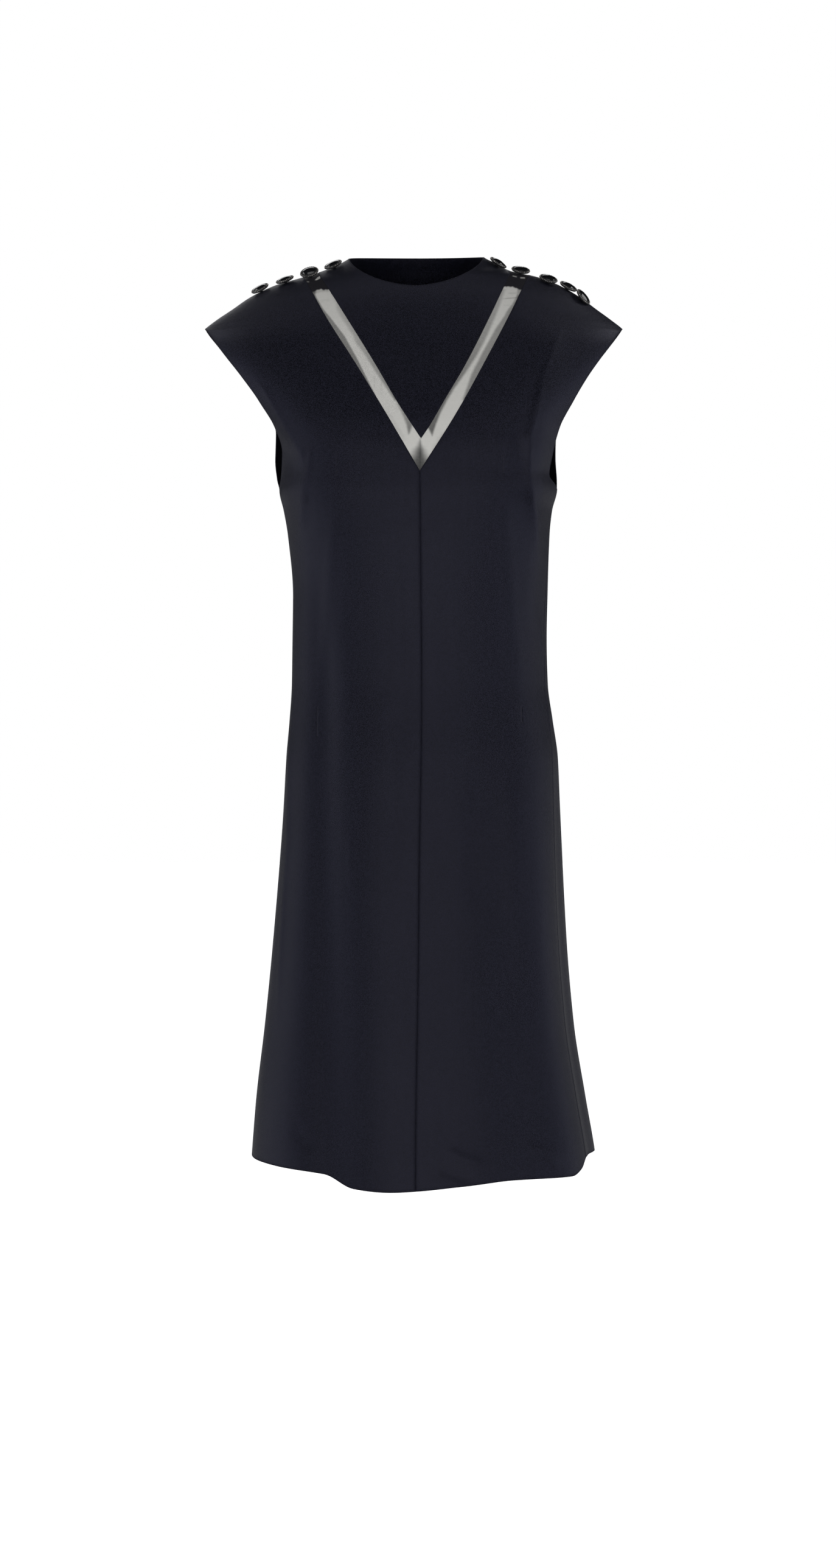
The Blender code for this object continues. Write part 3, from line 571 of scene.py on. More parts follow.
    def front_angle(self, across: np.ndarray, height: np.ndarray) -> np.ndarray:
        """Angle of the front's point that lies a given distance across, at a height."""
        across, height = np.asarray(across, float), np.asarray(height, float)
        part = np.clip(np.abs(across) / self.face_width(across, height, Face.FRONT), 0.0, 1.0)
        return np.sign(across) * np.arcsin(part ** (self.flat(height) / 2.0))

    def ridge_height(self, across: float) -> float:
        """Height of the shoulder seam at a distance across."""
        side = Side.RIGHT if across >= 0.0 else Side.LEFT
        heights = np.linspace(TIP_HEIGHT, RIDGE_TOP, ROUGH_STEPS)
        return float(np.interp(-abs(across), -self.width[side, Face.FRONT](heights), heights))

    def down_front(self, across: float) -> tuple[np.ndarray, np.ndarray, np.ndarray]:
        """The front below a point of the shoulder seam.

        Args:
            across: The point's distance across.

        Returns:
            Heights from the seam down, and the angle and the distance in front of the seam at each.
        """
        height = self.ridge_height(across) - np.linspace(0.0, SHOULDER_DROP, ROUGH_STEPS) ** 2 / SHOULDER_DROP
        angle = self.front_angle(across, height)
        angle[0] = np.sign(across) * np.pi / 2.0
        return height, angle, -self.skin(angle, height)[:, 1]

    def spaced(self, line: np.ndarray, count: int, crowding: float = 0.0) -> np.ndarray:
        """Resample a line of places by its length on the surface.

        Args:
            line: Rows of (angle, height).
            count: How many places come out.
            crowding: How far the places crowd to the line's end, from 0.

        Returns:
            Rows of (angle, height).
        """
        points = self.skin(line[:, 0], line[:, 1])
        reach = np.concatenate(([0.0], np.cumsum(np.linalg.norm(np.diff(points, axis=0), axis=1))))
        part = np.linspace(0.0, 1.0, count)
        want = reach[-1] * (part + crowding * part * (1.0 - part))
        return np.stack((np.interp(want, reach, line[:, 0]), np.interp(want, reach, line[:, 1])), axis=-1)

    def armhole_line(self, side: Side, face: Face, count: int, crowding: float) -> np.ndarray:
        """Edge of a sleeve opening from the underarm up to the sleeve's tip, as (angle, height) rows."""
        height = np.linspace(UNDERARM_HEIGHT, TIP_HEIGHT, LINE_STEPS)
        out = Curve.of(ARMHOLES[face], side.label)(height)
        part = np.clip(out / self.width[side, face](height), 0.0, 1.0)
        from_front = np.arcsin(part ** (self.flat(height) / 2.0))
        off_plane = self.depth[face](height) * np.cos(from_front) ** (2.0 / self.blunt(height))
        touching = 0.05
        from_front = np.where(off_plane < touching, np.pi / 2.0, from_front)
        angle = from_front if face is Face.FRONT else np.pi - from_front
        angle[0] = angle[-1] = np.pi / 2.0
        return self.spaced(np.stack((side.value * angle, height), axis=-1), count, crowding)

    def shoulder_line(self, side: Side, start: float, count: int) -> np.ndarray:
        """Shoulder seam from a distance across, out to the sleeve's tip, as (angle, height) rows."""
        height = np.linspace(self.ridge_height(start), TIP_HEIGHT, ROUGH_STEPS)
        angle = np.full_like(height, side.value * np.pi / 2.0)
        return self.spaced(np.stack((angle, height), axis=-1), count)

    def band_line(self, edge: Sequence[EdgePoint], side: Side, count: int, crowding: float) -> np.ndarray:
        """Edge of a sheer band from its lower end up to the shoulder seam, as (angle, height) rows."""
        across = Curve.of(edge, side.label)
        highest = 0.0
        for _ in range(BAND_ROUNDS):
            highest = self.ridge_height(float(across(highest)))
        height = np.linspace(edge[-1].height, highest, EDGE_STEPS)
        angle = self.front_angle(across(height), height)
        angle[-1] = side.value * np.pi / 2.0
        return self.spaced(np.stack((angle, height), axis=-1), count, crowding)

    def neckline(self, count: int) -> np.ndarray:
        """Scooped front neckline from the left neck point to the right one, as (angle, height) rows.

        It is the lower half of a squared ellipse, slung from the two neck points.
        """
        left, right = NECK[Side.LEFT], NECK[Side.RIGHT]
        turn = np.linspace(0.0, np.pi, LINE_STEPS)
        middle, half = (left[0] + right[0]) / 2.0, (right[0] - left[0]) / 2.0
        power = 2.0 / NECKLINE_SQUARE
        across = middle - half * np.sign(np.cos(turn)) * np.abs(np.cos(turn)) ** power
        level = np.interp(across, (left[0], right[0]), (left[1], right[1]))
        height = level - NECKLINE_DROP * np.sin(turn) ** power
        angle = self.front_angle(across, height)
        angle[0], angle[-1] = -np.pi / 2.0, np.pi / 2.0
        height[0], height[-1] = self.ridge_height(left[0]), self.ridge_height(right[0])
        return self.spaced(np.stack((angle, height), axis=-1), count)

    def places_under(self, points: np.ndarray, face: Face) -> np.ndarray:
        """Places on one face of the skin that lie level with points near it."""
        across, along, height = np.moveaxis(points, -1, 0)
        over_side = (np.abs(across) / self.face_width(across, height, face)) ** (self.flat(height) / 2.0)
        power = self.blunt(height) / 2.0
        outward = -along if face is Face.FRONT else along
        over_face = (np.maximum(outward, 0.0) / self.depth[face](height)) ** power
        turn = np.arctan2(over_side, over_face)
        turn = turn if face is Face.FRONT else np.pi - turn
        return np.stack((np.sign(across) * turn, height), axis=-1)

    def straight_line(self, start: np.ndarray, end: np.ndarray, count: int) -> np.ndarray:
        """Places on the front along a straight line between two places."""
        return self.places_under(np.linspace(self.skin(*start), self.skin(*end), count), Face.FRONT)

    def patch(self, bottom: np.ndarray, top: np.ndarray, inner: np.ndarray, outer: np.ndarray, face: Face,
              fade: float = 1.0) -> np.ndarray:
        """Places inside four edges, spread evenly over the skin.

        Args:
            bottom: Places of the lower edge.
            top: Places of the upper edge.
            inner: Places of the edge where rows begin.
            outer: Places of the edge where rows end.
            face: The face the patch lies on.
            fade: How fast the bend of the inner and outer edges dies away inside.

        Returns:
            A grid of (angle, height). Points lie straight between bottom and top, plus each side edge's
            departure from that, weighted by (1 - u)^fade and u^fade.
        """
        low, high, first, last = (self.skin(edge[:, 0], edge[:, 1]) for edge in (bottom, top, inner, outer))
        u = np.linspace(0.0, 1.0, len(low))[None, :, None]
        v = np.linspace(0.0, 1.0, len(first))[:, None, None]
        straight = (1.0 - v) * low[None] + v * high[None]
        to_first = first[:, None] - straight[:, :1]
        to_last = last[:, None] - straight[:, -1:]
        places = self.places_under(straight + (1.0 - u) ** fade * to_first + u ** fade * to_last, face)
        places[:, 0], places[:, -1] = inner, outer
        places[0], places[-1] = bottom, top
        return places

    @staticmethod
    def hem_height(angle: np.ndarray) -> np.ndarray:
        """Height of the hem at an angle."""
        return Curve.through(*np.transpose(HEM))((np.degrees(angle) + 90.0) % 360.0 - 90.0)

    def skirt_grid(self, first: Callable, last: Callable, columns: int, rows: int) -> np.ndarray:
        """Places from the hem up to the chest, between two seams.

        Args:
            first: The seam where rows begin, an angle for each height.
            last: The seam where they end.
            columns: Cells across.
            rows: Cells up.

        Returns:
            A grid of (angle, height).
        """
        u = np.linspace(0.0, 1.0, columns + 1)
        v = np.linspace(0.0, 1.0, rows + 1)[:, None]
        top = V_TIP_HEIGHT + (UNDERARM_HEIGHT - V_TIP_HEIGHT) * u
        foot = first(HEM_LEVEL) + (last(HEM_LEVEL) - first(HEM_LEVEL)) * u
        height = self.hem_height(foot) * (1.0 - v) + top * v
        angle = first(height) + (last(height) - first(height)) * u
        return np.stack((angle, height), axis=-1)


class Wire:
    """A shader socket that does sums as a Python number does."""

    def __init__(self, graph: "Graph", socket: bpy.types.NodeSocket) -> None:
        """Wrap an output socket of a graph."""
        self.graph = graph
        self.socket = socket

    def _sum(self, operation: str, *values: "Term") -> "Wire":
        """A Math node of the wire and other values."""
        return self.graph.maths(operation, self, *values)

    def __rsub__(self, other: "Term") -> "Wire":
        """Difference of the two, turned round."""
        return self.graph.maths("SUBTRACT", other, self)

    __add__ = __radd__ = partialmethod(_sum, "ADD")
    __sub__ = partialmethod(_sum, "SUBTRACT")
    __mul__ = partialmethod(_sum, "MULTIPLY")
    __truediv__ = partialmethod(_sum, "DIVIDE")
    __pow__ = partialmethod(_sum, "POWER")

    def clamped(self) -> "Wire":
        """The wire held between 0 and 1."""
        return self._sum("MINIMUM", 1.0)._sum("MAXIMUM", 0.0)

    def sine(self) -> "Wire":
        """Sine of the wire."""
        return self._sum("SINE")

    def bell(self) -> "Wire":
        """1 at 0, falling away on both sides as exp(-x^2) does."""
        return self.graph.maths("EXPONENT", self * self * -1.0)

    def above(self, edge: float, softness: float) -> "Wire":
        """0 below an edge and 1 above it, with a soft step between."""
        return ((self - edge) / softness + 0.5).clamped()

    def swing(self, width: float) -> "Wire":
        """Noise from 0 to 1, made to swing about 0 over a width."""
        return (self - 0.5) * width


Term = Union[Wire, float]


class Graph:
    """A material's node tree, written as expressions."""

    def __init__(self, name: str) -> None:
        """Start a material with its Principled shader."""
        self.material = bpy.data.materials.new(name)
        self.material.use_nodes = True
        self.tree = self.material.node_tree
        self.shader = self.tree.nodes["Principled BSDF"]

    def node(self, kind: str, settings: dict | None = None, sockets: dict | None = None) -> bpy.types.Node:
        """Add a node.

        Args:
            kind: Its type.
            settings: Values of its own properties.
            sockets: Values or wires for its inputs, by name or number.

        Returns:
            The node.
        """
        made = self.tree.nodes.new(kind)
        for name, value in (settings or {}).items():
            setattr(made, name, value)
        for name, value in (sockets or {}).items():
            self.feed(made.inputs[name], value)
        return made

    def feed(self, socket: bpy.types.NodeSocket, value: Union[Term, Sequence[float]]) -> None:
        """Give an input a wire or a fixed value."""
        if isinstance(value, Wire):
            self.tree.links.new(value.socket, socket)
        else:
            socket.default_value = value

    def surface(self, inputs: dict[str, Union[Term, Sequence[float]]]) -> None:
        """Give the shader's inputs their wires and fixed values, by name."""
        for name, value in inputs.items():
            self.feed(self.shader.inputs[name], value)

    def maths(self, operation: str, *values: Term) -> Wire:
        """A Math node of one to three values."""
        made = self.node("ShaderNodeMath", {"operation": operation}, dict(enumerate(values)))
        return Wire(self, made.outputs[0])

    def point(self) -> Wire:
        """The surface point in the dress's own frame, in metres."""
        return Wire(self, self.node("ShaderNodeTexCoord").outputs["Object"])

    def parts(self, vector: Wire) -> tuple[Wire, Wire, Wire]:
        """The three numbers of a vector."""
        made = self.node("ShaderNodeSeparateXYZ", None, {0: vector})
        return tuple(Wire(self, socket) for socket in made.outputs)

    def stretched(self, vector: Wire, scale: Sequence[float]) -> Wire:
        """A vector multiplied number by number."""
        made = self.node("ShaderNodeVectorMath", {"operation": "MULTIPLY"}, {0: vector, 1: scale})
        return Wire(self, made.outputs[0])

    def noise(self, vector: Wire, scale: float, detail: float = 2.0, roughness: float = 0.5) -> Wire:
        """Cloudy noise from 0 to 1, with features about 1 / scale across."""
        sockets = {"Vector": vector, "Scale": scale, "Detail": detail, "Roughness": roughness}
        return Wire(self, self.node("ShaderNodeTexNoise", None, sockets).outputs[0])

    def attribute(self, name: str) -> Wire:
        """A number that the mesh holds at each point."""
        return Wire(self, self.node("ShaderNodeAttribute", {"attribute_name": name}).outputs["Fac"])

    def mix(self, factor: Term, first: Union[Wire, Sequence[float]], second: Union[Wire, Sequence[float]]) -> Wire:
        """A colour between two."""
        made = self.node("ShaderNodeMix", {"data_type": "RGBA"}, {0: factor, 6: first, 7: second})
        return Wire(self, made.outputs[2])

    def bump(self, height: Wire, distance: float, strength: float = 1.0) -> None:
        """Raise the shader's surface by a height, in units of a distance in metres."""
        made = self.node("ShaderNodeBump", None, {"Height": height, "Distance": distance, "Strength": strength})
        self.surface({"Normal": Wire(self, made.outputs[0])})

    def away_from(self, across: Wire, up: Wire, start: Sequence[float], end: Sequence[float]) -> Wire:
        """Distance in metres from a straight line between two points (across, up), seen from the front."""
        run_x, run_z = end[0] - start[0], end[1] - start[1]
        square = run_x ** 2 + run_z ** 2
        from_x, from_z = across - start[0], up - start[1]
        part = ((from_x * run_x + from_z * run_z) / square).clamped()
        gap_x, gap_z = from_x - part * run_x, from_z - part * run_z
        return (gap_x * gap_x + gap_z * gap_z) ** 0.5


def rgba(red: float, green: float, blue: float) -> tuple[float, float, float, float]:
    """An opaque colour in linear values."""
    return red, green, blue, 1.0


@dataclass(frozen=True)
class CrepeFinish:
    """Matt crepe: pebbled grain, faint upright streaks, a soft bloom, pressed edges and painted shade along the
    darts' ends.

    Attributes:
        slot: A material slot's name; not used.
        deep: Its darkest tone.
        light: Its lightest tone.
        tone: The middle tone, from deep (0) to light (1).
        swings: How far mottle, grain, streaks and clouds swing the tone.
        roughness: The middle roughness.
        marks: The darts' ends, each a line between two points (across, height), in metres.
        mark_width: Half the width of such a line, in metres.
    """

    slot: str = "crepe"
    deep: tuple = rgba(0.0002, 0.0003, 0.0009)
    light: tuple = rgba(0.0056, 0.0059, 0.0120)
    tone: float = 0.46
    swings: tuple = (2.2, 6.0, 0.30, 0.25)
    roughness: float = 0.50
    marks: Sequence[tuple] = (
        ((-0.0908, -0.2330), (-0.0912, -0.2600)),
        ((-0.1140, -0.5180), (-0.1146, -0.5500)),
        ((0.0945, -0.2370), (0.0952, -0.2560)),
        ((0.1172, -0.5180), (0.1176, -0.5340)),
    )
    mark_width: float = 0.0009

    def build(self, name: str) -> bpy.types.Material:
        """The material.

        Args:
            name: Its name.

        Returns:
            Principled cloth. The pebble height is fine noise broken by coarser noise; darts show as bells
            across short lines, sunk into the bump and darkened in the colour as painted shade.
        """
        graph = Graph(name)
        point = graph.point()
        mottle = graph.noise(point, 560.0, 3.0, 0.62)
        grain = graph.noise(point, 1300.0, 2.0, 0.7)
        streak = graph.noise(graph.stretched(point, (1.0, 1.0, 0.05)), 150.0, 2.0)
        cloud = graph.noise(point, 9.0, 2.0)
        edge = graph.attribute("edge")
        tone: Term = self.tone
        for noise, width in zip((mottle, grain, streak, cloud), self.swings):
            tone = tone + noise.swing(width)
        dart_groove_and_shade = self._marks(graph, point)
        # The darts' lines darken the tone here: painted shade in their grooves.
        tone = (tone - dart_groove_and_shade * 0.3 - edge * 0.04).clamped()
        graph.surface({
            "Base Color": graph.mix(tone, self.deep, self.light),
            "Roughness": self.roughness + grain.swing(0.55) + mottle.swing(0.25) + edge * 0.3,
            "Specular IOR Level": 0.48,
            "Specular Tint": rgba(0.73, 0.73, 1.0),
            "Sheen Weight": 0.01,
            "Sheen Roughness": 0.55,
            "Sheen Tint": rgba(0.80, 0.84, 1.0),
        })
        graph.bump(grain * 0.9 + mottle * 0.25 - dart_groove_and_shade * 3.0, 0.00020, 0.8)
        graph.material.diffuse_color = self.deep
        return graph.material

    def _marks(self, graph: Graph, point: Wire) -> Wire:
        """The darts' ends: soft lines on the front, about a millimetre to each side, for the bump's grooves and
        their painted shade.
        """
        across, along, up = graph.parts(point)
        total: Term = 0.0
        for start, end in self.marks:
            total = (graph.away_from(across, up, start, end) / self.mark_width).bell() + total
        return total * (along * -1.0).above(0.02, 0.01)


@dataclass(frozen=True)
class OrganzaFinish:
    """Sheer organza: fine upright and level threads, light where it lies clear and dark over what backs it."""

    slot: str = "organza"
    clear: tuple = rgba(0.480, 0.475, 0.452)
    shaded: tuple = rgba(0.030, 0.030, 0.030)
    backed: tuple = rgba(0.0105, 0.0098, 0.0128)
    opacity: float = 0.93
    threads: float = 2100.0

    def build(self, name: str) -> bpy.types.Material:
        """The material.

        Args:
            name: Its name.

        Returns:
            Principled gauze. The weave is the product of two sines, with slubs of stretched noise.
        """
        graph = Graph(name)
        point = graph.point()
        across, _, up = graph.parts(point)
        pace = self.threads * 2.0 * np.pi
        weave = (across * pace).sine() * (up * pace).sine()
        warp = graph.noise(graph.stretched(point, (1.0, 1.0, 0.07)), 1300.0, 2.0, 0.6)
        weft = graph.noise(graph.stretched(point, (0.07, 1.0, 1.0)), 1300.0, 2.0, 0.6)
        mottle = graph.noise(point, 260.0, 3.0, 0.6)
        shade = graph.attribute("shade")
        backed = graph.attribute("backed")
        wander = warp.swing(0.16) + weft.swing(0.14) + mottle.swing(0.20)
        tone = (shade + wander * (1.0 - shade * 0.5)).clamped()
        seen = graph.mix(tone, self.clear, self.shaded)
        graph.surface({
            "Base Color": graph.mix(backed.clamped(), seen, self.backed),
            "Roughness": 0.62 + mottle.swing(0.15),
            "Alpha": (self.opacity + weave * 0.03 + warp.swing(0.10) + backed * 0.1).clamped(),
            "Specular IOR Level": 0.15,
            "Sheen Weight": 0.01,
            "Sheen Roughness": 0.4,
        })
        graph.bump(weave * 0.3 + (warp + weft) * 0.5, 0.00008, 0.6)
        graph.material.diffuse_color = self.clear
        return graph.material


@dataclass(frozen=True)
class GlassFinish:
    """Black glass: a mirror-smooth dome with a faint grey cloud in it, a ground rim and foiled cut beads."""

    slot: str = "black_glass"
    deep: tuple = rgba(0.0035, 0.0035, 0.0040)
    light: tuple = rgba(0.0120, 0.0125, 0.0140)
    foil: tuple = rgba(0.62, 0.58, 0.54)
    roughness: float = 0.06

    def build(self, name: str) -> bpy.types.Material:
        """The material.

        Args:
            name: Its name.

        Returns:
            Principled glass. The mesh's "ground" roughens it and its "cut" turns it to foiled beads.
        """
        graph = Graph(name)
        point = graph.point()
        cloud = graph.noise(point, 300.0, 2.0)
        scuff = graph.noise(point, 1500.0, 3.0, 0.7)
        ground, cut = graph.attribute("ground"), graph.attribute("cut")
        body = graph.mix(cloud, self.deep, self.light)
        graph.surface({
            "Base Color": graph.mix(cut, body, self.foil),
            "Metallic": cut,
            "Roughness": self.roughness + (scuff - 0.5).clamped() * 0.22 + ground * 0.42 + cut * 0.10,
            "IOR": 1.60,
            "Coat Weight": 0.5 - ground * 0.5,
            "Coat Roughness": 0.04,
        })
        graph.bump(scuff, 0.00002, 0.35)
        graph.material.diffuse_color = self.deep
        return graph.material


@dataclass(frozen=True)
class ThreadFinish:
    """Twisted black sewing thread with a slight lustre."""

    slot: str = "crepe"
    deep: tuple = rgba(0.006, 0.006, 0.008)
    light: tuple = rgba(0.030, 0.030, 0.036)

    def build(self, name: str) -> bpy.types.Material:
        """The material."""
        graph = Graph(name)
        point = graph.point()
        twist = graph.noise(graph.stretched(point, (1.0, 1.0, 3.0)), 2600.0, 2.0)
        graph.surface({"Base Color": graph.mix(twist, self.deep, self.light), "Roughness": 0.5 + twist * 0.2})
        graph.bump(twist, 0.00006, 0.8)
        return graph.material


Finish = Union[CrepeFinish, OrganzaFinish, GlassFinish, ThreadFinish]


def make_mesh(name: str, points: np.ndarray, faces: Sequence[np.ndarray], smooth: Sequence[bool]) -> bpy.types.Mesh:
    """A mesh from points in millimetres and groups of faces.

    Args:
        name: Its name.
        points: Rows of (x, y, z), in millimetres.
        faces: Arrays of quads or triangles, each a row of point numbers.
        smooth: Whether each group of faces is shaded smooth.

    Returns:
        The mesh, in metres.
    """
    mesh = bpy.data.meshes.new(name)
    mesh.from_pydata((points * MM).tolist(), [], [row for group in faces for row in group.tolist()])
    flags = np.repeat(np.asarray(smooth, bool), [len(group) for group in faces])
    mesh.polygons.foreach_set("use_smooth", flags)
    mesh.update()
    return mesh


def add_object(name: str, data: bpy.types.ID) -> bpy.types.Object:
    """Put a mesh, a lamp or a camera in the scene."""
    made = bpy.data.objects.new(name, data)
    bpy.context.scene.collection.objects.link(made)
    return made


def rings(profile: np.ndarray, sides: int) -> tuple[np.ndarray, np.ndarray, np.ndarray]:
    """Level rings of points, a profile turned about the upright axis.

    Args:
        profile: Rows of (radius, height), one for each ring.
        sides: How many sides the rings have.

    Returns:
        Points, their numbers ring by ring, and the numbers of the next ones round.
    """
    turn = np.linspace(0.0, 2.0 * np.pi, sides, endpoint=False)
    points = np.stack((profile[:, :1] * np.cos(turn), profile[:, :1] * np.sin(turn),
                       np.repeat(profile[:, 1:], sides, axis=1)), axis=-1).reshape(-1, 3)
    index = np.arange(len(points)).reshape(len(profile), sides)
    return points, index, np.roll(index, -1, axis=1)


def hold_number(mesh: bpy.types.Mesh, name: str, values: np.ndarray) -> None:
    """Give a mesh a named number at each point, for its material to read."""
    mesh.attributes.new(name, "FLOAT", "POINT").data.foreach_set("value", values.astype(np.float32))


def place_object(name: str, mesh: bpy.types.Mesh, material: bpy.types.Material,
                 stands_for: Sequence[str]) -> bpy.types.Object:
    """Put a mesh in the scene as a piece of the dress.

    Args:
        name: The piece's name.
        mesh: Its mesh, already in place.
        material: Its material.
        stands_for: The solid pieces it is shown in place of.

    Returns:
        The object.
    """
    mesh.materials.append(material)
    piece = add_object(name, mesh)
    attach(piece, ROOT)
    if stands_for:
        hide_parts(*stands_for)
    LOG.info("%s: %d faces", name, len(mesh.polygons))
    return piece


@dataclass(frozen=True)
class Cloth:
    """What a cloth shell is made of.

    Attributes:
        thickness: How thick the shell is.
        roll: How far its edges round over.
        sunk: How far it lies under the dress's face.
    """

    thickness: float = 1.1
    roll: float = 0.7
    sunk: float = 0.0


@dataclass(frozen=True)
class FlatCut:
    """The flat size a piece was cut to, in metres, and its area in square metres."""

    width: float
    length: float
    area: float


class ClothPiece:
    """One cut piece of cloth, as a thin shell with rounded edges on the dress's form."""

    label = ""
    cloth = Cloth()
    edge_shares = (0.07, 0.24, 0.55)
    edge_reach = 1.6

    def __init__(self, finish: Finish, cut: FlatCut, side: Side | None = None) -> None:
        """Describe the piece.

        Args:
            finish: Its material; not used.
            cut: Its flat size; not used.
            side: Its side of the dress, unless it spans both.
        """
        self.name = f"{self.label}_{side.label}" if side else self.label
        self.finish = finish
        self.cut = cut
        self.side = side

    def places(self, form: DressForm) -> np.ndarray:
        """The grid of (angle, height) that the piece covers."""
        raise NotImplementedError

    def paint(self, points: np.ndarray, edge: np.ndarray) -> dict[str, np.ndarray]:
        """Numbers that the material reads at each point: how near it is to the piece's edge."""
        return {"edge": np.exp(-((edge / self.edge_reach) ** 2))}

    def build(self, form: DressForm, material: bpy.types.Material) -> bpy.types.Object:
        """Make the piece.

        Args:
            form: The dress's form.
            material: The piece's material.

        Returns:
            The object.
        """
        places = self._edged(self.places(form))
        outer, out = form.creased(places[..., 0], places[..., 1])
        outer = outer - out * self.cloth.sunk
        edge = self._edge_distance(outer)
        reach = np.minimum(edge, self.cloth.roll)
        drop = self.cloth.roll - np.sqrt(self.cloth.roll ** 2 - (self.cloth.roll - reach) ** 2)
        inner = outer - out * self.cloth.thickness
        outer = outer - out * drop[..., None]
        mesh = self._shell(outer, inner)
        for label, values in self.paint(outer, edge).items():
            hold_number(mesh, label, np.concatenate((values.ravel(), values.ravel())))
        piece = place_object(self.name + "_cloth", mesh, material, [self.name])
        return piece

    def _edged(self, places: np.ndarray) -> np.ndarray:
        """The grid with lines added just inside each edge, for the rounding."""
        for axis in (0, 1):
            grid = np.moveaxis(places, axis, 0)
            first = [grid[0] + (grid[1] - grid[0]) * share for share in self.edge_shares]
            last = [grid[-1] + (grid[-2] - grid[-1]) * share for share in reversed(self.edge_shares)]
            grid = np.concatenate((grid[:1], first, grid[1:-1], last, grid[-1:]))
            places = np.moveaxis(grid, 0, axis)
        return places

    @staticmethod
    def _edge_distance(points: np.ndarray) -> np.ndarray:
        """Distance of each grid point from the nearest edge, measured along the grid."""
        nearest = np.full(points.shape[:2], np.inf)
        for axis in (0, 1):
            step = np.linalg.norm(np.diff(points, axis=axis), axis=-1)
            zero = np.zeros_like(np.take(step, [0], axis=axis))
            reach = np.concatenate((zero, np.cumsum(step, axis=axis)), axis=axis)
            whole = np.take(reach, [-1], axis=axis)
            nearest = np.minimum(nearest, np.minimum(reach, whole - reach))
        return nearest

    def _shell(self, outer: np.ndarray, inner: np.ndarray) -> bpy.types.Mesh:
        """A closed shell between two grids of points."""
        rows, columns = outer.shape[:2]
        index = np.arange(rows * columns).reshape(rows, columns)
        under = index + rows * columns
        quads = np.stack((index[:-1, :-1], index[:-1, 1:], index[1:, 1:], index[1:, :-1]), axis=-1).reshape(-1, 4)
        backs = np.stack((under[:-1, :-1], under[1:, :-1], under[1:, 1:], under[:-1, 1:]), axis=-1).reshape(-1, 4)
        rim = np.concatenate((index[0, :-1], index[:-1, -1], index[-1, :0:-1], index[:0:-1, 0]))
        ahead = np.roll(rim, -1)
        edges = np.stack((ahead, rim, rim + rows * columns, ahead + rows * columns), axis=-1)
        groups = (quads, backs, edges)
        points = np.concatenate((outer.reshape(-1, 3), inner.reshape(-1, 3)))
        out = np.cross(points[quads[:, 1]] - points[quads[:, 0]], points[quads[:, 3]] - points[quads[:, 0]])
        if (out * (outer - inner)[:-1, :-1].reshape(-1, 3)).sum() < 0.0:
            groups = tuple(group[:, ::-1] for group in groups)
        return make_mesh(self.name, points, groups, (True, True, True))


class FrontPanel(ClothPiece):
    """One front, from the hem to the shoulder, with its cap sleeve."""

    label = "front"
    cloth = Cloth(roll=0.25)

    def places(self, form: DressForm) -> np.ndarray:
        """The grid from the centre front seam and the V out to the side seam and the sleeve's edge."""
        columns, rows_skirt, rows_chest = 74, 226, 84
        centre = Curve.through(*np.transpose(CENTRE_SEAM))
        seam = Curve.of(SIDE_SEAM, self.side.label)
        lower = form.skirt_grid(lambda height: form.front_angle(centre(height), height),
                                lambda height: self.side.value * np.radians(seam(height)),
                                columns, rows_skirt)
        inner = form.band_line(OUTER_EDGE, self.side, rows_chest + 1, CHEST_CROWDING)
        outer = form.armhole_line(self.side, Face.FRONT, rows_chest + 1, CHEST_CROWDING)
        start = abs(float(form.skin(*inner[-1])[0]))
        top = form.shoulder_line(self.side, self.side.value * start, columns + 1)
        upper = form.patch(lower[-1], top, inner, outer, Face.FRONT)
        return np.concatenate((lower, upper[1:]))


class BackPanel(ClothPiece):
    """The back, in one piece with the backs of both sleeves."""

    label = "back"

    def places(self, form: DressForm) -> np.ndarray:
        """The two halves joined down the centre back."""
        left = self._half(form, Side.LEFT)
        left[..., 0] += 2.0 * np.pi
        return np.concatenate((self._half(form, Side.RIGHT)[:, ::-1], left[:, 1:]), axis=1)

    @staticmethod
    def _half(form: DressForm, side: Side) -> np.ndarray:
        """Places of one half, from the centre back out to the side."""
        at_neck, at_shoulder, rows_skirt, rows_chest = 20, 46, 210, 78
        seam = Curve.of(SIDE_SEAM, side.label)
        lower = form.skirt_grid(lambda height: side.value * np.pi + 0.0 * np.asarray(height),
                                lambda height: side.value * np.radians(seam(height)),
                                at_neck + at_shoulder, rows_skirt)
        across = NECK[side][0]
        neck_height = form.ridge_height(across)
        turn = np.linspace(0.0, 1.0, 200)
        neck = np.stack((side.value * np.pi * (1.0 - 0.5 * turn),
                         BACK_NECK_RISE + (neck_height - BACK_NECK_RISE) * turn ** 2), axis=-1)
        top = np.concatenate((form.spaced(neck, at_neck + 1), form.shoulder_line(side, across, at_shoulder + 1)[1:]))
        height = np.linspace(V_TIP_HEIGHT, BACK_NECK_RISE, ROUGH_STEPS)
        inner = form.spaced(np.stack((np.full_like(height, side.value * np.pi), height), axis=-1),
                            rows_chest + 1, CHEST_CROWDING)
        outer = form.armhole_line(side, Face.BACK, rows_chest + 1, CHEST_CROWDING)
        upper = form.patch(lower[-1], top, inner, outer, Face.BACK)
        return np.concatenate((lower, upper[1:]))


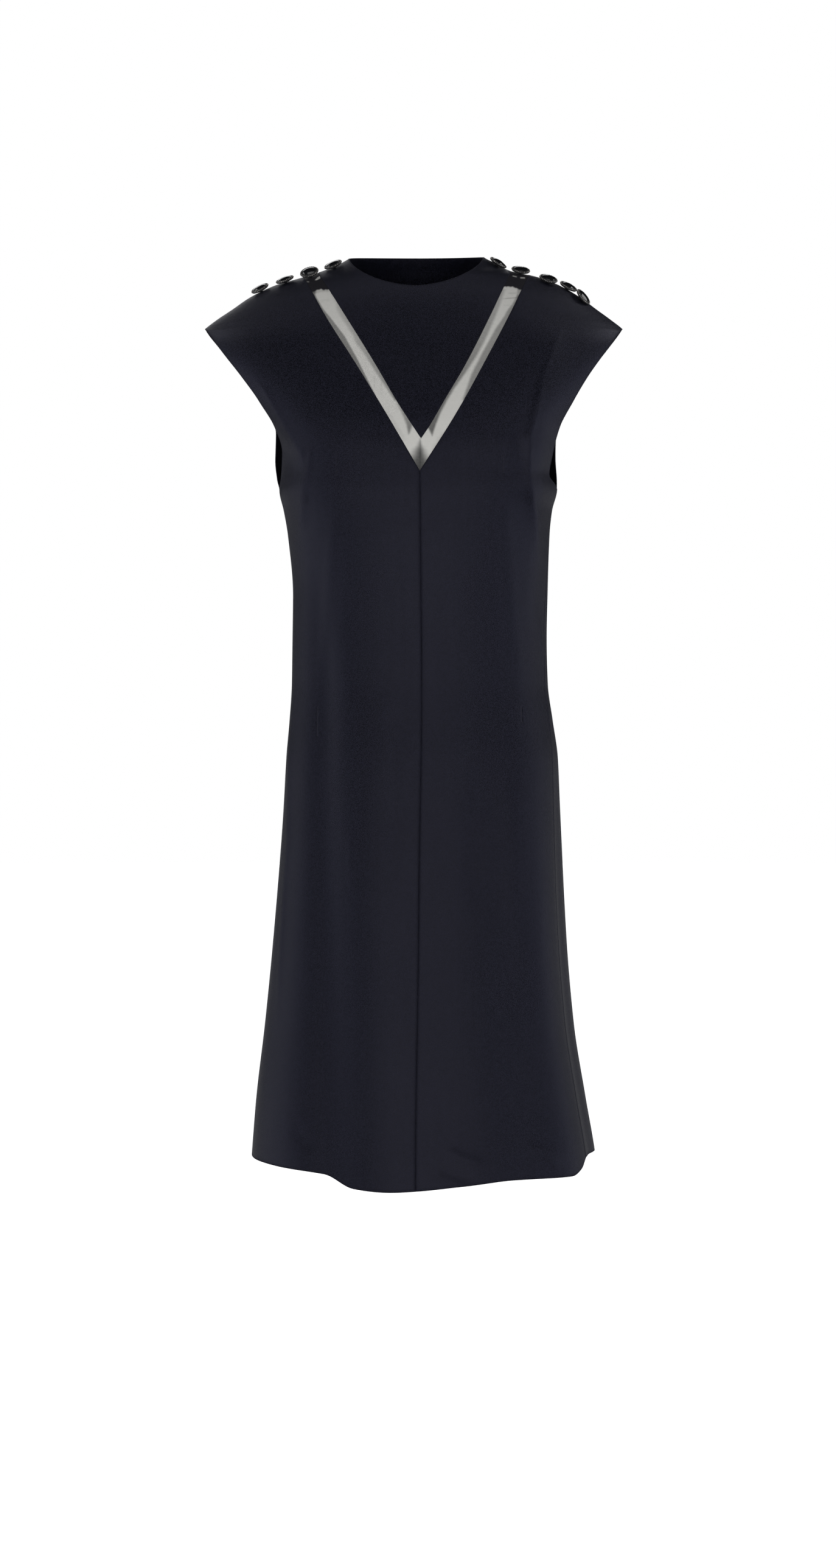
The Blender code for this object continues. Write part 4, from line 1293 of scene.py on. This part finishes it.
class Bib(ClothPiece):
    """The bib between the bands, with the scooped front neckline."""

    label = "bib"

    def places(self, form: DressForm) -> np.ndarray:
        """The grid from the bib's point up to the neckline and the inner ends of the shoulders."""
        half, rows, crowding, fade = 44, 90, 0.6, 3.0
        left = form.band_line(INNER_EDGE, Side.LEFT, rows + 1, crowding)
        right = form.band_line(INNER_EDGE, Side.RIGHT, rows + 1, crowding)
        point = np.concatenate((form.straight_line(left[1], left[0], half + 1),
                                form.straight_line(right[0], right[1], half + 1)[1:]))
        scoop = form.neckline(LINE_STEPS)
        shoulder_steps = LINE_STEPS // 10
        line = np.concatenate((np.linspace(left[-1], scoop[0], shoulder_steps), scoop[1:-1],
                               np.linspace(scoop[-1], right[-1], shoulder_steps)))
        return form.patch(point, form.spaced(line, 2 * half + 1), left[1:], right[1:], Face.FRONT, fade)


@dataclass(frozen=True)
class Shadow:
    """A darker patch seen through a sheer band: a soft-edged polygon.

    Attributes:
        corners: Its corners (across, height), in order round it.
        depth: How dark it is at its highest and at its lowest corner, from 0 to 1.
        softness: How wide the fade of its edge is, at its highest and its lowest corner.
    """

    corners: Sequence[tuple[float, float]]
    depth: tuple[float, float]
    softness: tuple[float, float] = (1.4, 1.4)

    def __call__(self, across: np.ndarray, height: np.ndarray) -> np.ndarray:
        """The patch's tone at points of the band.

        Args:
            across: Distances across, in millimetres.
            height: Heights, in millimetres.

        Returns:
            Tones: the depth inside, easing to 0 across the edge by the distance from it. A point is inside
            where a level line from it crosses the edge an odd number of times.
        """
        start = np.array(self.corners)
        run = np.roll(start, -1, axis=0) - start
        offset = np.stack((across, height), axis=-1)[..., None, :] - start
        part = np.clip((offset * run).sum(axis=-1) / (run ** 2).sum(axis=-1), 0.0, 1.0)
        distance = np.linalg.norm(offset - part[..., None] * run, axis=-1).min(axis=-1)
        spans = (offset[..., 1] < 0.0) != (offset[..., 1] < run[:, 1])
        slope = run[:, 0] / np.where(run[:, 1] == 0.0, 1.0, run[:, 1])
        inside = (spans & (offset[..., 0] < slope * offset[..., 1])).sum(axis=-1) % 2 == 1
        levels = (start[:, 1].min(), start[:, 1].max())
        fade = np.interp(height, levels, self.softness[::-1])
        share = np.clip(np.where(inside, distance, -distance) / fade + 0.5, 0.0, 1.0)
        return np.interp(height, levels, self.depth[::-1]) * share * share * (3.0 - 2.0 * share)


class FootRow(NamedTuple):
    """The shade at the V's foot at a height: how far it reaches to the right of the mitre, and its depth."""

    height: float
    reach: float
    depth: float


@dataclass(frozen=True)
class Mitre:
    """The seam where the two bands meet: a thin darker line that fades in below its top."""

    across: float = 2.1
    half_width: float = 0.45
    depth: float = 0.28
    top: float = -217.0
    fade: float = 3.0

    def __call__(self, across: np.ndarray, height: np.ndarray) -> np.ndarray:
        """Its tone at points of the band, a bell across it."""
        bell = self.depth * np.exp(-((across - self.across) / self.half_width) ** 2)
        return bell * np.clip((self.top - height) / self.fade, 0.0, 1.0)


class SheerBand(ClothPiece):
    """A sheer band from the mitre at the centre front up to its shoulder.

    The foot's shade lies round a point across and is wider to the left by a factor. Painted shadows, and narrow
    streaks that are creases of painted shade, darken the band. The border of the backed top has ripples (rise, pace,
    shift), and painted gleams lighten it again.
    """

    label = "sheer_band"
    cloth = Cloth(thickness=0.6, roll=0.3, sunk=0.25)
    mitre = Mitre()
    foot_across = 2.2
    foot_to_left = 1.25
    edge_tone = 0.10
    edge_fade = 0.7
    ripples = ((0.25, 1.3, 0.0), (0.12, 3.1, 1.0), (0.05, 6.7, 0.0))
    border_fade = 1.6
    foot = table(
        FootRow,
        (-219.0, 0.8, 0.15),
        (-226.0, 2.6, 0.60),
        (-231.0, 5.2, 0.83),
        (-236.0, 7.0, 0.88),
        (-241.0, 11.0, 0.91),
        (-247.0, 20.0, 0.93),
        (-256.0, 32.0, 0.97),
    )
    shadows = {
        Side.LEFT: (
            Shadow(((-116.8, -50.0), (-107.2, -67.5), (-99.0, -78.0), (-82.5, -100.5), (-68.2, -127.2),
                    (-60.6, -142.7), (-48.2, -168.6), (-62.0, -168.0), (-132.0, -48.0)), (0.62, 0.72),
                   (2.2, 2.6)),
            Shadow(((-125.0, -43.0), (-121.0, -55.0), (-117.2, -51.5), (-115.0, -41.0)), (0.9, 0.7), (4.0, 3.0)),
            Shadow(((-98.9, -48.6), (-93.5, -58.3), (-91.6, -68.8), (-84.4, -82.0), (-72.6, -100.6),
                    (-70.5, -108.0), (-61.2, -119.9), (-46.1, -144.7), (-26.4, -175.5), (-12.0, -172.0),
                    (-60.0, -98.0), (-88.0, -45.0)), (0.25, 0.58), (6.0, 3.2)),
            Shadow(((-28.0, -170.0), (-17.1, -192.6), (-12.9, -202.9), (-10.6, -213.7), (-9.5, -212.3),
                    (-6.0, -203.4), (0.0, -198.0), (-18.0, -170.0)), (0.30, 0.80), (4.0, 4.0)),
            Crease(((-48.7, -145.0), (-49.1, -162.0)), 0.14, 0.8),
            Crease(((-41.2, -149.0), (-41.2, -167.0)), 0.14, 0.9),
            Crease(((-39.0, -180.0), (-26.0, -202.0), (-12.0, -226.0)), 0.14, 2.2),
            Crease(((-112.5, -56.8), (-98.0, -57.3)), 0.10, 1.5),
            Crease(((-119.0, -48.0), (-110.0, -45.2), (-100.0, -45.6)), 0.26, 1.4, fade_in=0.1, fade_out=0.1),
        ),
        Side.RIGHT: (
            Shadow(((112.5, -50.0), (106.6, -61.8), (102.1, -67.6), (97.5, -76.2), (87.6, -91.2), (72.4, -119.8),
                    (60.0, -144.5), (55.1, -159.1), (50.0, -174.0), (53.0, -176.0), (62.0, -172.0), (130.0, -48.0)),
                   (0.55, 0.60), (3.0, 4.5)),
            Shadow(((113.0, -42.0), (112.0, -54.0), (118.0, -54.0), (122.0, -42.0)), (0.5, 0.3), (2.0, 3.0)),
            Shadow(((98.8, -44.7), (94.2, -59.2), (86.0, -81.0), (75.2, -106.1), (67.1, -121.7), (53.8, -142.8),
                    (40.6, -161.9), (32.6, -175.5), (25.2, -189.7), (20.1, -202.9), (15.9, -215.5),
                    (11.3, -206.7), (4.0, -200.0), (60.0, -110.0), (90.0, -40.0)), (0.36, 0.84), (5.0, 3.4)),
            Crease(((91.5, -56.0), (113.0, -53.4)), 0.42, 0.65, fade_in=0.5, fade_out=0.1),
            Crease(((95.0, -63.2), (105.5, -62.8)), 0.14, 0.6),
            Crease(((100.0, -48.5), (113.5, -47.8)), 0.18, 1.2),
            Crease(((30.0, -208.0), (13.0, -236.0)), 0.12, 2.0),
        ),
    }
    border = {
        Side.LEFT: ((-120.9, -47.4), (-116.0, -44.6), (-110.2, -43.2), (-107.1, -44.5), (-101.3, -43.9)),
        Side.RIGHT: ((97.1, -41.3), (98.9, -40.2), (107.8, -40.3), (117.2, -43.9)),
    }
    gleams = {
        Side.LEFT: (
            Shadow(((-117.6, -30.9), (-114.7, -27.3), (-111.8, -24.7), (-111.4, -28.7), (-115.4, -31.1)),
                   (0.9, 0.9), (0.8, 0.8)),
            Crease(((-127.5, -32.4), (-123.5, -32.9)), 0.5, 0.5),
        ),
        Side.RIGHT: (
            Crease(((107.4, -25.6), (113.2, -27.0)), 0.6, 0.7, fade_in=0.2, fade_out=0.2),
            Crease(((116.2, -27.8), (122.8, -27.6)), 0.8, 0.8, fade_in=0.2, fade_out=0.2),
        ),
    }

    def places(self, form: DressForm) -> np.ndarray:
        """The grid between the band's two edges."""
        columns, rows, crowding = 40, 300, 0.1
        outer, inner = (form.band_line(edge, self.side, rows + 1, crowding) for edge in (OUTER_EDGE, INNER_EDGE))
        u = np.linspace(0.0, 1.0, columns + 1)[None, :, None]
        return inner[:, None] * (1.0 - u) + outer[:, None] * u

    def paint(self, points: np.ndarray, edge: np.ndarray) -> dict[str, np.ndarray]:
        """Tone of the organza: its shadows, the mitre, the dark foot of the V and the backed top."""
        across, up = points[..., 0], points[..., 2]
        heights = column(self.foot, "height")[::-1]
        depth = np.interp(up, heights, column(self.foot, "depth")[::-1], right=0.0)
        reach = np.interp(up, heights, column(self.foot, "reach")[::-1])
        away = (across - self.foot_across) / np.where(across < self.foot_across, self.foot_to_left, 1.0) / reach
        clear = (1.0 - self.mitre(across, up)) * (1.0 - depth * np.exp(-away * away))
        clear = clear * (1.0 - self.edge_tone * np.exp(-edge / self.edge_fade))
        for shadow in self.shadows[self.side]:
            clear = clear * (1.0 - np.clip(shadow(across, up), 0.0, 1.0))
        knots = np.array(self.border[self.side])
        ragged = sum(rise * np.sin(across * pace + shift) for rise, pace, shift in self.ripples)
        border = np.interp(across, knots[:, 0], knots[:, 1]) + ragged
        backed = np.clip((up - border) / self.border_fade + 0.5, 0.0, 1.0)
        for gleam in self.gleams[self.side]:
            backed = backed * (1.0 - np.clip(gleam(across, up), 0.0, 1.0))
        return {"shade": 1.0 - clear, "backed": backed}


@dataclass(frozen=True)
class StandReach:
    """The strip's reach along the shoulder from the middle, and in front of and behind the seam."""

    start: float = 87.0
    end: float = 216.0
    front: float = 19.0
    back: float = 4.0


class ButtonStand(ClothPiece):
    """The strip under a front's shoulder edge that carries the buttons' fastening."""

    label = "button_stand"
    cloth = Cloth(thickness=0.9, roll=0.4, sunk=2.4)
    reach = StandReach()

    def places(self, form: DressForm) -> np.ndarray:
        """The grid along the shoulder, by distance in front of and behind the seam."""
        columns, rows = 90, 16
        across = np.linspace(self.reach.start, self.reach.end, columns + 1)
        offsets = np.linspace(-self.reach.front, self.reach.back, rows + 1)
        places = np.zeros((len(offsets), len(across), 2))
        for number, reach in enumerate(across):
            height, turn, in_front = form.down_front(self.side.value * reach)
            turn = np.abs(turn)
            behind = form.skin(self.side.value * (np.pi - turn), height)[:, 1]
            ahead = offsets < 0.0
            found = np.where(ahead, np.interp(-offsets, in_front, height), np.interp(offsets, behind, height))
            angle = np.where(ahead, np.interp(-offsets, in_front, turn), np.pi - np.interp(offsets, behind, turn))
            places[:, number] = np.stack((self.side.value * angle, found), axis=-1)
        return places


class ButtonSpot(NamedTuple):
    """Where a button sits: distance across, distance in front of the seam, lift off the cloth, and its tilts.

    It leans forward by its lean and slopes down to the right by its slope, in degrees.
    """

    across: float
    forward: float
    lift: float
    lean: float
    slope: float


BUTTON_SPOTS = {
    Side.LEFT: table(
        ButtonSpot,
        (-179.8, 6.0, 0.9, 22.0, -27.0),
        (-151.4, 17.0, 0.6, 19.0, -20.0),
        (-123.3, 19.0, 1.95, 37.0, -16.0),
        (-96.0, 16.0, 0.65, 23.0, -23.0),
    ),
    Side.RIGHT: table(
        ButtonSpot,
        (90.1, 14.0, 0.65, 17.0, 33.0),
        (117.1, 18.0, 1.05, 26.0, 9.0),
        (148.4, 18.0, 0.8, 28.0, 16.0),
        (171.0, 6.0, 0.9, 22.0, 28.0),
        (186.3, 14.0, 1.3, 23.0, 52.0),
    ),
}


@dataclass(frozen=True)
class ButtonShape:
    """A glass button's sizes: a dished base, a ring of cut beads round its rim and a low dome inside them."""

    base: Sequence[tuple[float, float]] = (
        (0.0, 0.0), (2.4, 0.0), (2.6, 0.7), (7.5, 1.0), (10.0, 1.8), (10.9, 2.9), (10.7, 3.5), (9.2, 4.4),
        (8.0, 4.6), (0.0, 4.6),
    )
    base_sides: int = 40
    dome_radius: float = 8.3
    dome_foot: float = 4.3
    dome_rise: float = 1.9
    dome_power: float = 2.4
    dome_rows: int = 16
    dome_sides: int = 48
    dome_sunk: float = 0.3
    bead: Sequence[tuple[float, float]] = (
        (0.0, -1.0), (0.7, -0.7), (1.0, 0.0), (0.75, 0.65), (0.35, 0.92), (0.0, 0.95),
    )
    bead_sides: int = 6
    beads: int = 28
    bead_radius: float = 0.90
    bead_ring: float = 9.85
    bead_height: float = 3.45
    dull_foil: float = 0.35
    thread_radius: float = 1.6
    thread_waist: float = 1.4
    thread_end: float = 0.5
    thread_top: float = 0.1
    thread_sides: int = 20


class GlassButton:
    """A cut black glass button on its thread."""

    def __init__(self, side: Side, number: int, spot: ButtonSpot, shape: ButtonShape) -> None:
        """Describe one button.

        Args:
            side: The shoulder it is on.
            number: Its number along the shoulder, from the left as seen.
            spot: Where it sits.
            shape: Its sizes.
        """
        self.name = f"button_{side.label}_{number}"
        self.spot = spot
        self.shape = shape

    def pose(self, form: DressForm) -> tuple[np.ndarray, np.ndarray]:
        """The button's turn, as three columns, and the point it stands on."""
        height, angle, in_front = form.down_front(self.spot.across)
        place = (np.interp(self.spot.forward, in_front, angle), np.interp(self.spot.forward, in_front, height))
        lean = Matrix.Rotation(np.radians(self.spot.lean), 3, "X")
        turn = np.array(Matrix.Rotation(np.radians(self.spot.slope), 3, "Y") @ lean)
        return turn, form.skin(*place) + turn[:, 2] * self.spot.lift

    @staticmethod
    def _turned(profile: np.ndarray, sides: int) -> tuple[np.ndarray, np.ndarray, np.ndarray]:
        """A turned body, closed at both poles.

        Args:
            profile: Rows of (radius, height) from the bottom pole round to the top one.
            sides: How many sides it has.

        Returns:
            Points, quads and the poles' triangles.
        """
        points, index, ahead = rings(profile[1:-1], sides)
        poles = np.array([[0.0, 0.0, profile[0, 1]], [0.0, 0.0, profile[-1, 1]]])
        quads = np.stack((index[:-1], ahead[:-1], ahead[1:], index[1:]), axis=-1).reshape(-1, 4)
        low = np.stack((ahead[0], index[0], np.full(sides, len(points))), axis=-1)
        top = np.stack((index[-1], ahead[-1], np.full(sides, len(points) + 1)), axis=-1)
        return np.concatenate((points, poles)), quads, np.concatenate((low, top))

    def _dome(self) -> np.ndarray:
        """Profile of the dome: a shallow curve, height = rise (1 - (radius / reach)^power)."""
        shape = self.shape
        radius = shape.dome_radius * np.sin(np.linspace(np.pi / 2.0, 0.0, shape.dome_rows))
        height = shape.dome_foot + shape.dome_rise * (1.0 - (radius / shape.dome_radius) ** shape.dome_power)
        sole = shape.dome_foot - shape.dome_sunk
        return np.concatenate(([[0.0, sole], [shape.dome_radius, sole]], np.stack((radius, height), axis=-1)))

    def _beads(self) -> tuple[np.ndarray, np.ndarray]:
        """The ring of cut beads: each a six-sided double cone with a belt, turned its own way."""
        points, quads, fans = self._turned(np.array(self.shape.bead) * self.shape.bead_radius, self.shape.bead_sides)
        turn = np.linspace(0.0, 2.0 * np.pi, self.shape.beads, endpoint=False)
        tilt = 0.35 + 0.25 * np.sin(turn * 5.0 + 1.0)
        zero, one = np.zeros_like(turn), np.ones_like(turn)
        lean = np.array([[np.cos(tilt), zero, np.sin(tilt)], [zero, one, zero], [-np.sin(tilt), zero, np.cos(tilt)]])
        spin = np.array([[np.cos(turn), -np.sin(turn), zero], [np.sin(turn), np.cos(turn), zero], [zero, zero, one]])
        both = np.einsum("abn,bcn->nac", spin, lean)
        ring = self.shape.bead_ring
        centre = np.stack((ring * np.cos(turn), ring * np.sin(turn), np.full_like(turn, self.shape.bead_height)), -1)
        placed = np.einsum("nab,pb->npa", both, points) + centre[:, None]
        shift = (np.arange(self.shape.beads) * len(points))[:, None, None]
        tris = np.concatenate((quads[:, :3], quads[:, [0, 2, 3]], fans))
        return placed.reshape(-1, 3), (tris[None] + shift).reshape(-1, 3)

    def build(self, form: DressForm, material: bpy.types.Material, thread: bpy.types.Material) -> bpy.types.Object:
        """Make the button and its thread.

        Args:
            form: The dress's form.
            material: The glass.
            thread: The sewing thread.

        Returns:
            The button's object.
        """
        turn, foot = self.pose(form)
        base, base_quads, base_fans = self._turned(np.array(self.shape.base), self.shape.base_sides)
        dome, dome_quads, dome_fans = self._turned(self._dome(), self.shape.dome_sides)
        beads, bead_tris = self._beads()
        points = np.concatenate((base, dome, beads)) @ turn.T + foot
        after = len(base)
        faces = (base_quads, base_fans, dome_quads + after, dome_fans + after, bead_tris + after + len(dome))
        mesh = make_mesh(self.name, points, faces, (False, False, True, True, False))
        counts = (len(base), len(dome), len(beads))
        number = np.repeat(np.arange(self.shape.beads), len(beads) // self.shape.beads)
        foiled = np.where(np.sin(number * 2.4) > 0.1, 1.0, self.shape.dull_foil)
        hold_number(mesh, "ground", np.repeat((1.0, 0.0, 0.0), counts))
        hold_number(mesh, "cut", np.concatenate((np.zeros(counts[0] + counts[1]), foiled)))
        piece = place_object(self.name + "_glass", mesh, material, [self.name])
        stalk, quads, fans = self._turned(self._stalk(), self.shape.thread_sides)
        stalk_mesh = make_mesh(self.name + "_thread", stalk @ turn.T + foot, (quads, fans), (True, False))
        place_object(self.name + "_thread", stalk_mesh, thread, [])
        return piece

    def _stalk(self) -> np.ndarray:
        """Profile of the thread's stalk, from inside the cloth up to the button, with two turns round it."""
        wide, narrow, top = self.shape.thread_radius, self.shape.thread_waist, self.shape.thread_top
        deep = -self.spot.lift - self.shape.thread_end
        return np.array([(0.0, deep), (wide, deep), (narrow, deep * 0.6), (wide, deep * 0.3), (narrow, top),
                         (0.0, top)])


@dataclass(frozen=True)
class Lamp:
    """A soft lamp: where it stands, what it points at, its width and height, its power and its colour."""

    name: str
    place: tuple[float, float, float]
    target: tuple[float, float, float]
    size: tuple[float, float]
    power: float
    colour: tuple[float, float, float] = (1.0, 1.0, 1.0)


@dataclass(frozen=True)
class Studio:
    """A pale studio: floor, soft sky, lamps and the camera.

    Attributes:
        floor_height: Height of the floor under the hanging dress.
        distance: The camera's distance in front of the middle plane.
        camera_height: The camera's height.
        lens: Focal length for a 36 mm long side.
        lamps: The soft lamps.
    """

    floor_height: float = -1.5
    distance: float = 4.5
    camera_height: float = -0.605
    lens: float = 89.9
    lamps: Sequence[Lamp] = (
        Lamp("front", (0.0, -4.6, -1.05), (0.0, 0.0, -0.9), (6.0, 1.6), 53.0),
        Lamp("front_left", (-4.5, -0.75, -1.15), (0.0, 0.0, -1.0), (6.4, 1.6), 34.0, (0.86, 0.88, 1.0)),
        Lamp("front_right", (4.5, -0.85, -1.15), (0.0, 0.0, -1.0), (6.4, 1.6), 36.0, (0.86, 0.88, 1.0)),
        Lamp("back_left", (-3.8, 3.4, -1.15), (0.0, 0.0, -1.0), (6.4, 1.6), 12.0),
        Lamp("back_right", (3.8, 3.4, -1.15), (0.0, 0.0, -1.0), (6.4, 1.6), 12.0),
        Lamp("high_left", (-3.0, 0.6, 1.9), (0.0, 0.0, -0.2), (2.4, 2.0), 19.0),
        Lamp("high_right", (3.0, 0.6, 1.9), (0.0, 0.0, -0.2), (2.4, 2.0), 25.0),
        Lamp("above", (0.0, -0.9, 2.8), (0.0, 0.0, -0.1), (3.2, 1.2), 10.0),
        Lamp("behind", (-0.67, 3.61, 1.83), (-0.1, 0.0, -0.03), (2.6, 2.0), 21.0),
        Lamp("glint", (1.6, -3.2, 1.2), (0.0, 0.0, -0.05), (0.16, 0.16), 1.8),
    )

    def build(self) -> None:
        """Make the floor, the sky, the lamps and the camera."""
        self._floor()
        self._sky()
        for lamp in self.lamps:
            self._lamp(lamp)
        self._camera()
        bpy.context.scene.view_settings.view_transform = "Standard"

    def _floor(self) -> None:
        """A wide pale floor, a disc made of rings."""
        sides = 64
        radius = np.array([0.5, 1.0, 2.0, 4.0, 8.0, 16.0, 40.0])
        ring, index, ahead = rings(np.stack((radius, np.full_like(radius, self.floor_height)), axis=-1), sides)
        points = np.concatenate((ring, [[0.0, 0.0, self.floor_height]]))
        quads = np.stack((index[:-1], index[1:], ahead[1:], ahead[:-1]), axis=-1).reshape(-1, 4)
        fan = np.stack((index[0], ahead[0], np.full(sides, len(ring))), axis=-1)
        mesh = make_mesh("floor", points / MM, (quads, fan), (True, True))
        graph = Graph("floor_paint")
        cloud = graph.noise(graph.point(), 3.0, 2.0)
        graph.surface({
            "Base Color": graph.mix(cloud, rgba(0.80, 0.80, 0.80), rgba(0.83, 0.83, 0.83)),
            "Roughness": 0.9,
            "Specular IOR Level": 0.1,
            "Emission Color": rgba(1.0, 1.0, 1.0),
            "Emission Strength": 1.0,
        })
        mesh.materials.append(graph.material)
        floor = add_object("floor", mesh)
        floor.visible_glossy = False

    @staticmethod
    def _sky() -> None:
        """A sky that is white round the horizon and dim overhead, by the height of each direction."""
        world = bpy.data.worlds.new("studio_sky")
        bpy.context.scene.world = world
        world.use_nodes = True
        tree = world.node_tree
        where = tree.nodes.new("ShaderNodeTexCoord")
        parts = tree.nodes.new("ShaderNodeSeparateXYZ")
        ramp = tree.nodes.new("ShaderNodeMapRange")
        ramp.interpolation_type = "SMOOTHSTEP"
        tree.links.new(where.outputs["Generated"], parts.inputs[0])
        tree.links.new(parts.outputs[2], ramp.inputs["Value"])
        for name, value in (("From Min", 0.21), ("From Max", 0.5), ("To Min", 1.0), ("To Max", 0.05)):
            ramp.inputs[name].default_value = value
        tree.links.new(ramp.outputs[0], tree.nodes["Background"].inputs["Color"])
        tree.nodes["Background"].inputs["Strength"].default_value = 1.0
        world.cycles_visibility.glossy = False

    @staticmethod
    def _lamp(lamp: Lamp) -> None:
        """One soft lamp, turned to its target."""
        data = bpy.data.lights.new(lamp.name, "AREA")
        data.shape = "RECTANGLE"
        data.size, data.size_y = lamp.size
        data.energy = lamp.power
        data.color = lamp.colour
        made = add_object(lamp.name, data)
        made.location = lamp.place
        aim = Vector(lamp.target) - Vector(lamp.place)
        made.rotation_euler = aim.to_track_quat("-Z", "Y").to_euler()
        made.visible_camera = False

    def _camera(self) -> None:
        """The camera, level and square to the front."""
        data = bpy.data.cameras.new("camera")
        data.lens = self.lens
        data.sensor_width = 36.0
        data.clip_end = 200.0
        made = add_object("camera", data)
        made.location = (0.0, -self.distance, self.camera_height)
        made.rotation_euler = (np.pi / 2.0, 0.0, 0.0)
        bpy.context.scene.camera = made


def build_dress(form: DressForm) -> None:
    """Build every piece of the dress in its order.

    Args:
        form: The dress's form.
    """
    crepe, organza, glass, thread = CrepeFinish(), OrganzaFinish(), GlassFinish(), ThreadFinish()
    crepe_material = crepe.build("navy_crepe")
    organza_material = organza.build("sheer_organza")
    glass_material = glass.build("cut_glass")
    thread_material = thread.build("sewing_thread")
    cloth_pieces = [
        (FrontPanel(crepe, FlatCut(0.27, 1.06, 0.22), Side.LEFT), crepe_material),
        (FrontPanel(crepe, FlatCut(0.26, 1.06, 0.19), Side.RIGHT), crepe_material),
        (BackPanel(crepe, FlatCut(0.60, 1.10, 0.50)), crepe_material),
        (Bib(crepe, FlatCut(0.25, 0.24, 0.028)), crepe_material),
        (SheerBand(organza, FlatCut(0.020, 0.28, 0.0050), Side.LEFT), organza_material),
        (SheerBand(organza, FlatCut(0.020, 0.28, 0.0050), Side.RIGHT), organza_material),
        (ButtonStand(crepe, FlatCut(0.025, 0.15, 0.0036), Side.LEFT), crepe_material),
        (ButtonStand(crepe, FlatCut(0.025, 0.15, 0.0036), Side.RIGHT), crepe_material),
    ]
    for piece, material in cloth_pieces:
        piece.build(form, material)
    shape = ButtonShape()
    for side, spots in BUTTON_SPOTS.items():
        for number, spot in enumerate(spots, start=1):
            GlassButton(side, number, spot, shape).build(form, glass_material, thread_material)


def main() -> None:
    """Build the dress and the studio, and note the size of the result."""
    logging.basicConfig(level=logging.INFO, format="%(name)s: %(message)s")
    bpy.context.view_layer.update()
    build_dress(DressForm(SWELLS, CREASES))
    Studio().build()


if __name__ == "__main__":
    main()
